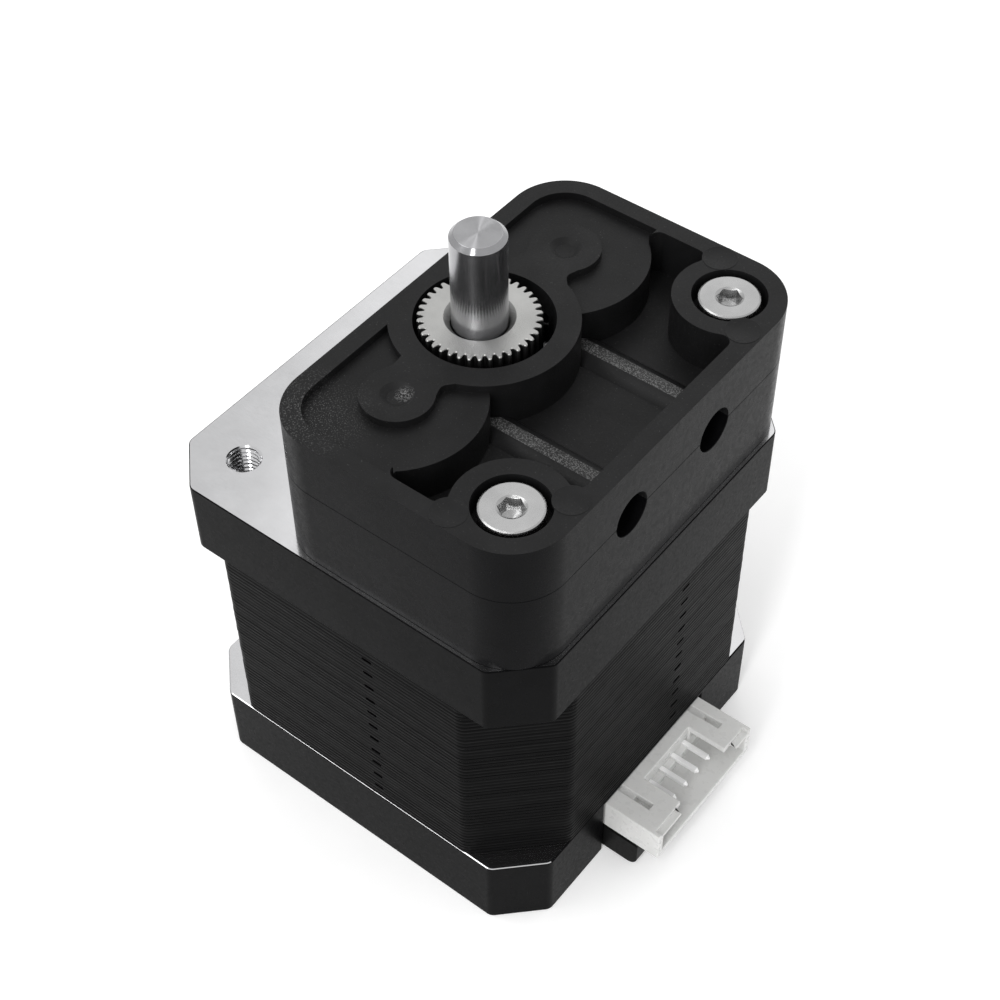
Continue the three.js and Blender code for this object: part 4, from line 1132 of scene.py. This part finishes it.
def connector_header():
    """The nylon shell, open to +X, with a window over the contacts and a latch slot on each side."""
    lo, hi = HEADER_LOW, HEADER_HIGH
    back, mouth = HEADER_BACK_X, hi.x + REACH
    inside_y = (lo.y + HEADER_WALL, hi.y - HEADER_WALL)
    floor, above = lo.z + HEADER_ROOF, hi.z + REACH
    top = (hi.z - HEADER_WALL, above)
    shell = box(lo.x, hi.x, lo.y, hi.y, lo.z, hi.z)
    tools = [
        box(back, mouth, *inside_y, floor, hi.z - HEADER_ROOF),
        box(back - 0.25, mouth, *WINDOW_Y, *top),
        box(back - 0.25, back + REACH, *WINDOW_Y, CONTACT_Z, hi.z),
        box(HEADER_STEP_X, mouth, *MOUTH_Y, *top),
        box(HEADER_STEP_X + 0.05, mouth, lo.y + 0.45, hi.y - 0.45, hi.z - 0.4, above),
    ]
    tools += [box(back + 0.2, LATCH_SLOT_END_X, *slot_y, floor, above) for slot_y in LATCH_SLOTS_Y]
    tools += [box(lo.x - REACH, back + REACH, *slot_y, hi.z - 0.35, above) for slot_y in LATCH_SLOTS_Y]
    cut(shell, tools)
    ledge_y = (inside_y[0] - 0.1, inside_y[1] + 0.1)
    joined(shell, [box(back - 0.3, back + 0.45, *ledge_y, lo.z + 0.3, CONTACT_Z)])
    half = CONTACT_SLOT_HALF
    slot_z = (CONTACT_Z - half, CONTACT_Z + half)
    cut(shell, [box(lo.x - REACH, back + REACH, y - half, y + half, *slot_z) for y in CONTACT_YS])
    body = rounded(shell, width=0.07)
    paint(body, NYLON)
    return finish(body, "connector_header_shell", "connector_header")


def connector_base():
    """The block below the header, with one well-rounded lower edge."""
    lo, hi = BASE_LOW, BASE_HIGH
    outline = rounded_polygon(rectangle(lo.x, hi.x, lo.z, hi.z), [0.2, 1.1, 0.2, 0.2], 10)
    body = loft([[(x, y, z) for x, z in outline] for y in (lo.y, hi.y)])
    rounded(body, width=0.12)
    paint(body, BASE_PLASTIC)
    return finish(body, "connector_base_block", "connector_base")


def connector_pin(number):
    """A square pin with a pointed tip, bent down to the board at its back."""
    name = f"connector_pin_{number}"
    lo, hi = frame_box(name)
    half = (hi.y - lo.y) / 2
    y = lo.y + half
    middle = hi.z - half
    blade = box(lo.x, hi.x - 0.3, y - half, y + half, hi.z - 2 * half, hi.z)
    corners = rectangle(-half, half, -half, half)
    ends = ((hi.x - 0.4, 1), (hi.x, 0.4))
    tip = loft([[(x, y + a * share, middle + b * share) for a, b in corners] for x, share in ends])
    leg = box(lo.x, lo.x + 2 * half, y - half, y + half, lo.z, hi.z)
    pin = rounded(joined(blade, [tip, leg]), width=0.05)
    paint(pin, TIN)
    return finish(pin, name + "_bent", name)


# ---------- bearings, idlers and windings ----------

# bore, lands of the inner and outer ring, outside, circle of ball centres and ball radius, in millimetres
SHAFT_BEARING = {"bore": 2.7, "inner": 4.1, "outer": 6.6, "rim": 8, "pitch": 5.35, "ball": 1.35}
IDLER_BEARING = {"bore": 1.6, "inner": 2.4, "outer": 4, "rim": 6, "pitch": 3.2, "ball": 0.72}
BALLS = 7
RING_EDGE = 0.15
CAGE_HALF_WIDTH = 0.13
# Shares of the ball radius.
TRACK_HALF_WIDTH = 0.9
TRACK_DEPTH = 0.25
CAGE_HALF_HEIGHT = 0.6
# Heights from the seam and depths below the rim of the groove in an idler wheel.
IDLER_GROOVE = [(-1.2, 0), (-0.8, 0.7), (-0.45, 0.9), (0, 1), (0.45, 0.9), (0.8, 0.7), (1.2, 0)]


def track(sizes, land, middle):
    """The round groove that the balls run in, as (radius, height) points from the top down."""
    half = sizes["ball"] * TRACK_HALF_WIDTH
    depth = sizes["ball"] * TRACK_DEPTH * (1 if land > sizes["pitch"] else -1)
    turns = [math.pi / 2 * (1 - k / 4) for k in range(9)]
    return [(land + depth * math.cos(a), middle + half * math.sin(a)) for a in turns]


def bearing_ring(node, sizes, track_side, plain_side, y=0.0):
    """A ring between its ball track at one radius and its plain wall at the other."""
    low, high = frame_box(node)
    z0, z1 = low.z, high.z
    land, wall = sizes[track_side], sizes[plain_side]
    inward = wall - RING_EDGE if wall > land else wall + RING_EDGE
    profile = [(inward, z0), (wall, z0 + RING_EDGE), (wall, z1 - RING_EDGE), (inward, z1), (land, z1),
               *track(sizes, land, (z0 + z1) / 2), (land, z0)]
    ring = smooth(turned(profile, y=y), FACET_ANGLE)
    paint(ring, BEARING_STEEL)
    return finish(ring, node + "_ground", node)


def idler_wheel(node, y):
    """The outer ring of an idler bearing, with the groove that presses the filament to the gear."""
    low, high = frame_box(node)
    z0, z1 = low.z, high.z
    rim, land, edge = IDLER_BEARING["rim"], IDLER_BEARING["outer"], 0.12
    groove = [(rim - depth, SEAM + rise) for rise, depth in IDLER_GROOVE]
    profile = [(rim - edge, z0), (rim, z0 + edge), *groove, (rim, z1 - edge), (rim - edge, z1), (land, z1),
               *track(IDLER_BEARING, land, SEAM), (land, z0)]
    wheel = smooth(turned(profile, y=y), angle=24)
    paint(wheel, BEARING_STEEL)
    return finish(wheel, node + "_grooved", node)


def ball_set(node, sizes, y=0.0):
    """The balls of one bearing with the cage that spaces them."""
    low, high = frame_box(node)
    middle = (low.z + high.z) / 2
    work = bmesh.new()
    for x, ball_y in circle(sizes["pitch"], BALLS, y=y):
        place = Matrix.Translation((x, ball_y, middle))
        bmesh.ops.create_uvsphere(work, u_segments=24, v_segments=16, radius=sizes["ball"], matrix=place)
    balls = new_object(node, [], [])
    work.to_mesh(balls.data)
    work.free()
    balls.data.shade_smooth()
    inner, outer = sizes["pitch"] - CAGE_HALF_WIDTH, sizes["pitch"] + CAGE_HALF_WIDTH
    half = sizes["ball"] * CAGE_HALF_HEIGHT
    cage = turned(rectangle(inner, outer, middle - half, middle + half), 72, y=y)
    balls = merged([balls, smooth(cage)])
    paint(balls, BEARING_STEEL)
    return finish(balls, node + "_in_cage", node)


def idler_pin(node, y):
    low, high = frame_box(node)
    pin = smooth(turned(chamfered_rod(low.z, high.z, PIN_RADIUS, PIN_CHAMFER), 64, y=y))
    paint(pin, GROUND_STEEL)
    return finish(pin, node + "_ground", node)


WIRE = 0.425
COIL_START = 13.2
COIL_TURNS = 8
COIL_HALF_WIDTH = 4.5
COIL_OVERHANG = 3.4
COIL_CORNER = 1.4
EYE_HALF_WIDTH = 2.55
EYE_OVERHANG = 1.4
EYE_CORNER = 0.4


def coil_loop(half_width, overhang, corner):
    """A rounded loop round a pole, as (sideways, height) points."""
    corners = rectangle(-half_width, half_width, STACK_LOW.z - overhang, STACK_HIGH.z + overhang)
    return rounded_polygon(corners, corner, 4)


WIRE_PATH = coil_loop(COIL_HALF_WIDTH - WIRE / 2, COIL_OVERHANG - WIRE / 2, COIL_CORNER)


def wire_turn(radial):
    """One turn of wire whose middle is at that distance from the shaft axis."""
    rings = []
    for i, (side, height) in enumerate(WIRE_PATH):
        before, after = Vector(WIRE_PATH[i - 1]), Vector(WIRE_PATH[(i + 1) % len(WIRE_PATH)])
        along = (after - before).normalized()
        rings.append([(radial + across, side + along.y * out, height - along.x * out)
                      for out, across in circle(WIRE / 2, 6)])
    return loft(rings, closed=True)


def coil(number):
    """A bundle of wire round one pole: a solid core with the outer layer wound turn by turn."""
    end = COIL_START + COIL_TURNS * WIRE
    eye = coil_loop(EYE_HALF_WIDTH, EYE_OVERHANG, EYE_CORNER)
    core = loft([[(x, *point) for point in WIRE_PATH] for x in (COIL_START + 0.02, end - 0.02)])
    hole = loft([[(x, *point) for point in eye] for x in (COIL_START - REACH, end + REACH)])
    cut(core, [hole])
    turns = [smooth(wire_turn(COIL_START + WIRE * (k + 0.5)), angle=70) for k in range(COIL_TURNS)]
    winding = merged([core, *turns])
    winding.data.transform(Matrix.Rotation(math.radians(360 / POLES * (number - 1)), 4, "Z"))
    paint(winding, COPPER)
    return finish(winding, f"coil_{number}_wound", f"coil_{number}")


# ---------- inner pieces carried over from the frame ----------

def cad_node_materials():
    """Gives every CAD node that still shows the material of its slot."""
    for obj in list(bpy.context.scene.objects):
        node = obj.get("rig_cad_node")
        if node is not None and obj.type == "MESH" and not obj.hide_render:
            paint(obj, MATERIAL_OF_SLOT[SLOT_OF[node]])


# ---------- build ----------

make_camera()
make_studio()
front_bell()
rear_bell()
stator_stack()
feeder_housing()
feeder_cover()
motor_shaft()
drive_gear()
for side_name, side_y in SIDES.items():
    body_screw(f"body_screw_{side_name}", side_y * SCREW_OFFSET)
for number, (screw_x, screw_y) in enumerate(SCREW_CORNERS, 1):
    motor_screw(number, screw_x, screw_y)
connector_header()
connector_base()
for number in range(1, len(CONTACT_YS) + 1):
    connector_pin(number)
for end in ("rear", "front"):
    bearing_ring(f"{end}_bearing_inner_ring", SHAFT_BEARING, "inner", "bore")
    bearing_ring(f"{end}_bearing_outer_ring", SHAFT_BEARING, "outer", "rim")
    ball_set(f"{end}_bearing_balls", SHAFT_BEARING)
for side_name, side_y in SIDES.items():
    idler_y = side_y * IDLER_OFFSET
    idler_pin(f"idler_pin_{side_name}", idler_y)
    idler_wheel(f"idler_wheel_{side_name}", idler_y)
    bearing_ring(f"idler_inner_ring_{side_name}", IDLER_BEARING, "inner", "bore", idler_y)
    ball_set(f"idler_balls_{side_name}", IDLER_BEARING, idler_y)
for number in range(1, POLES + 1):
    coil(number)
cad_node_materials()
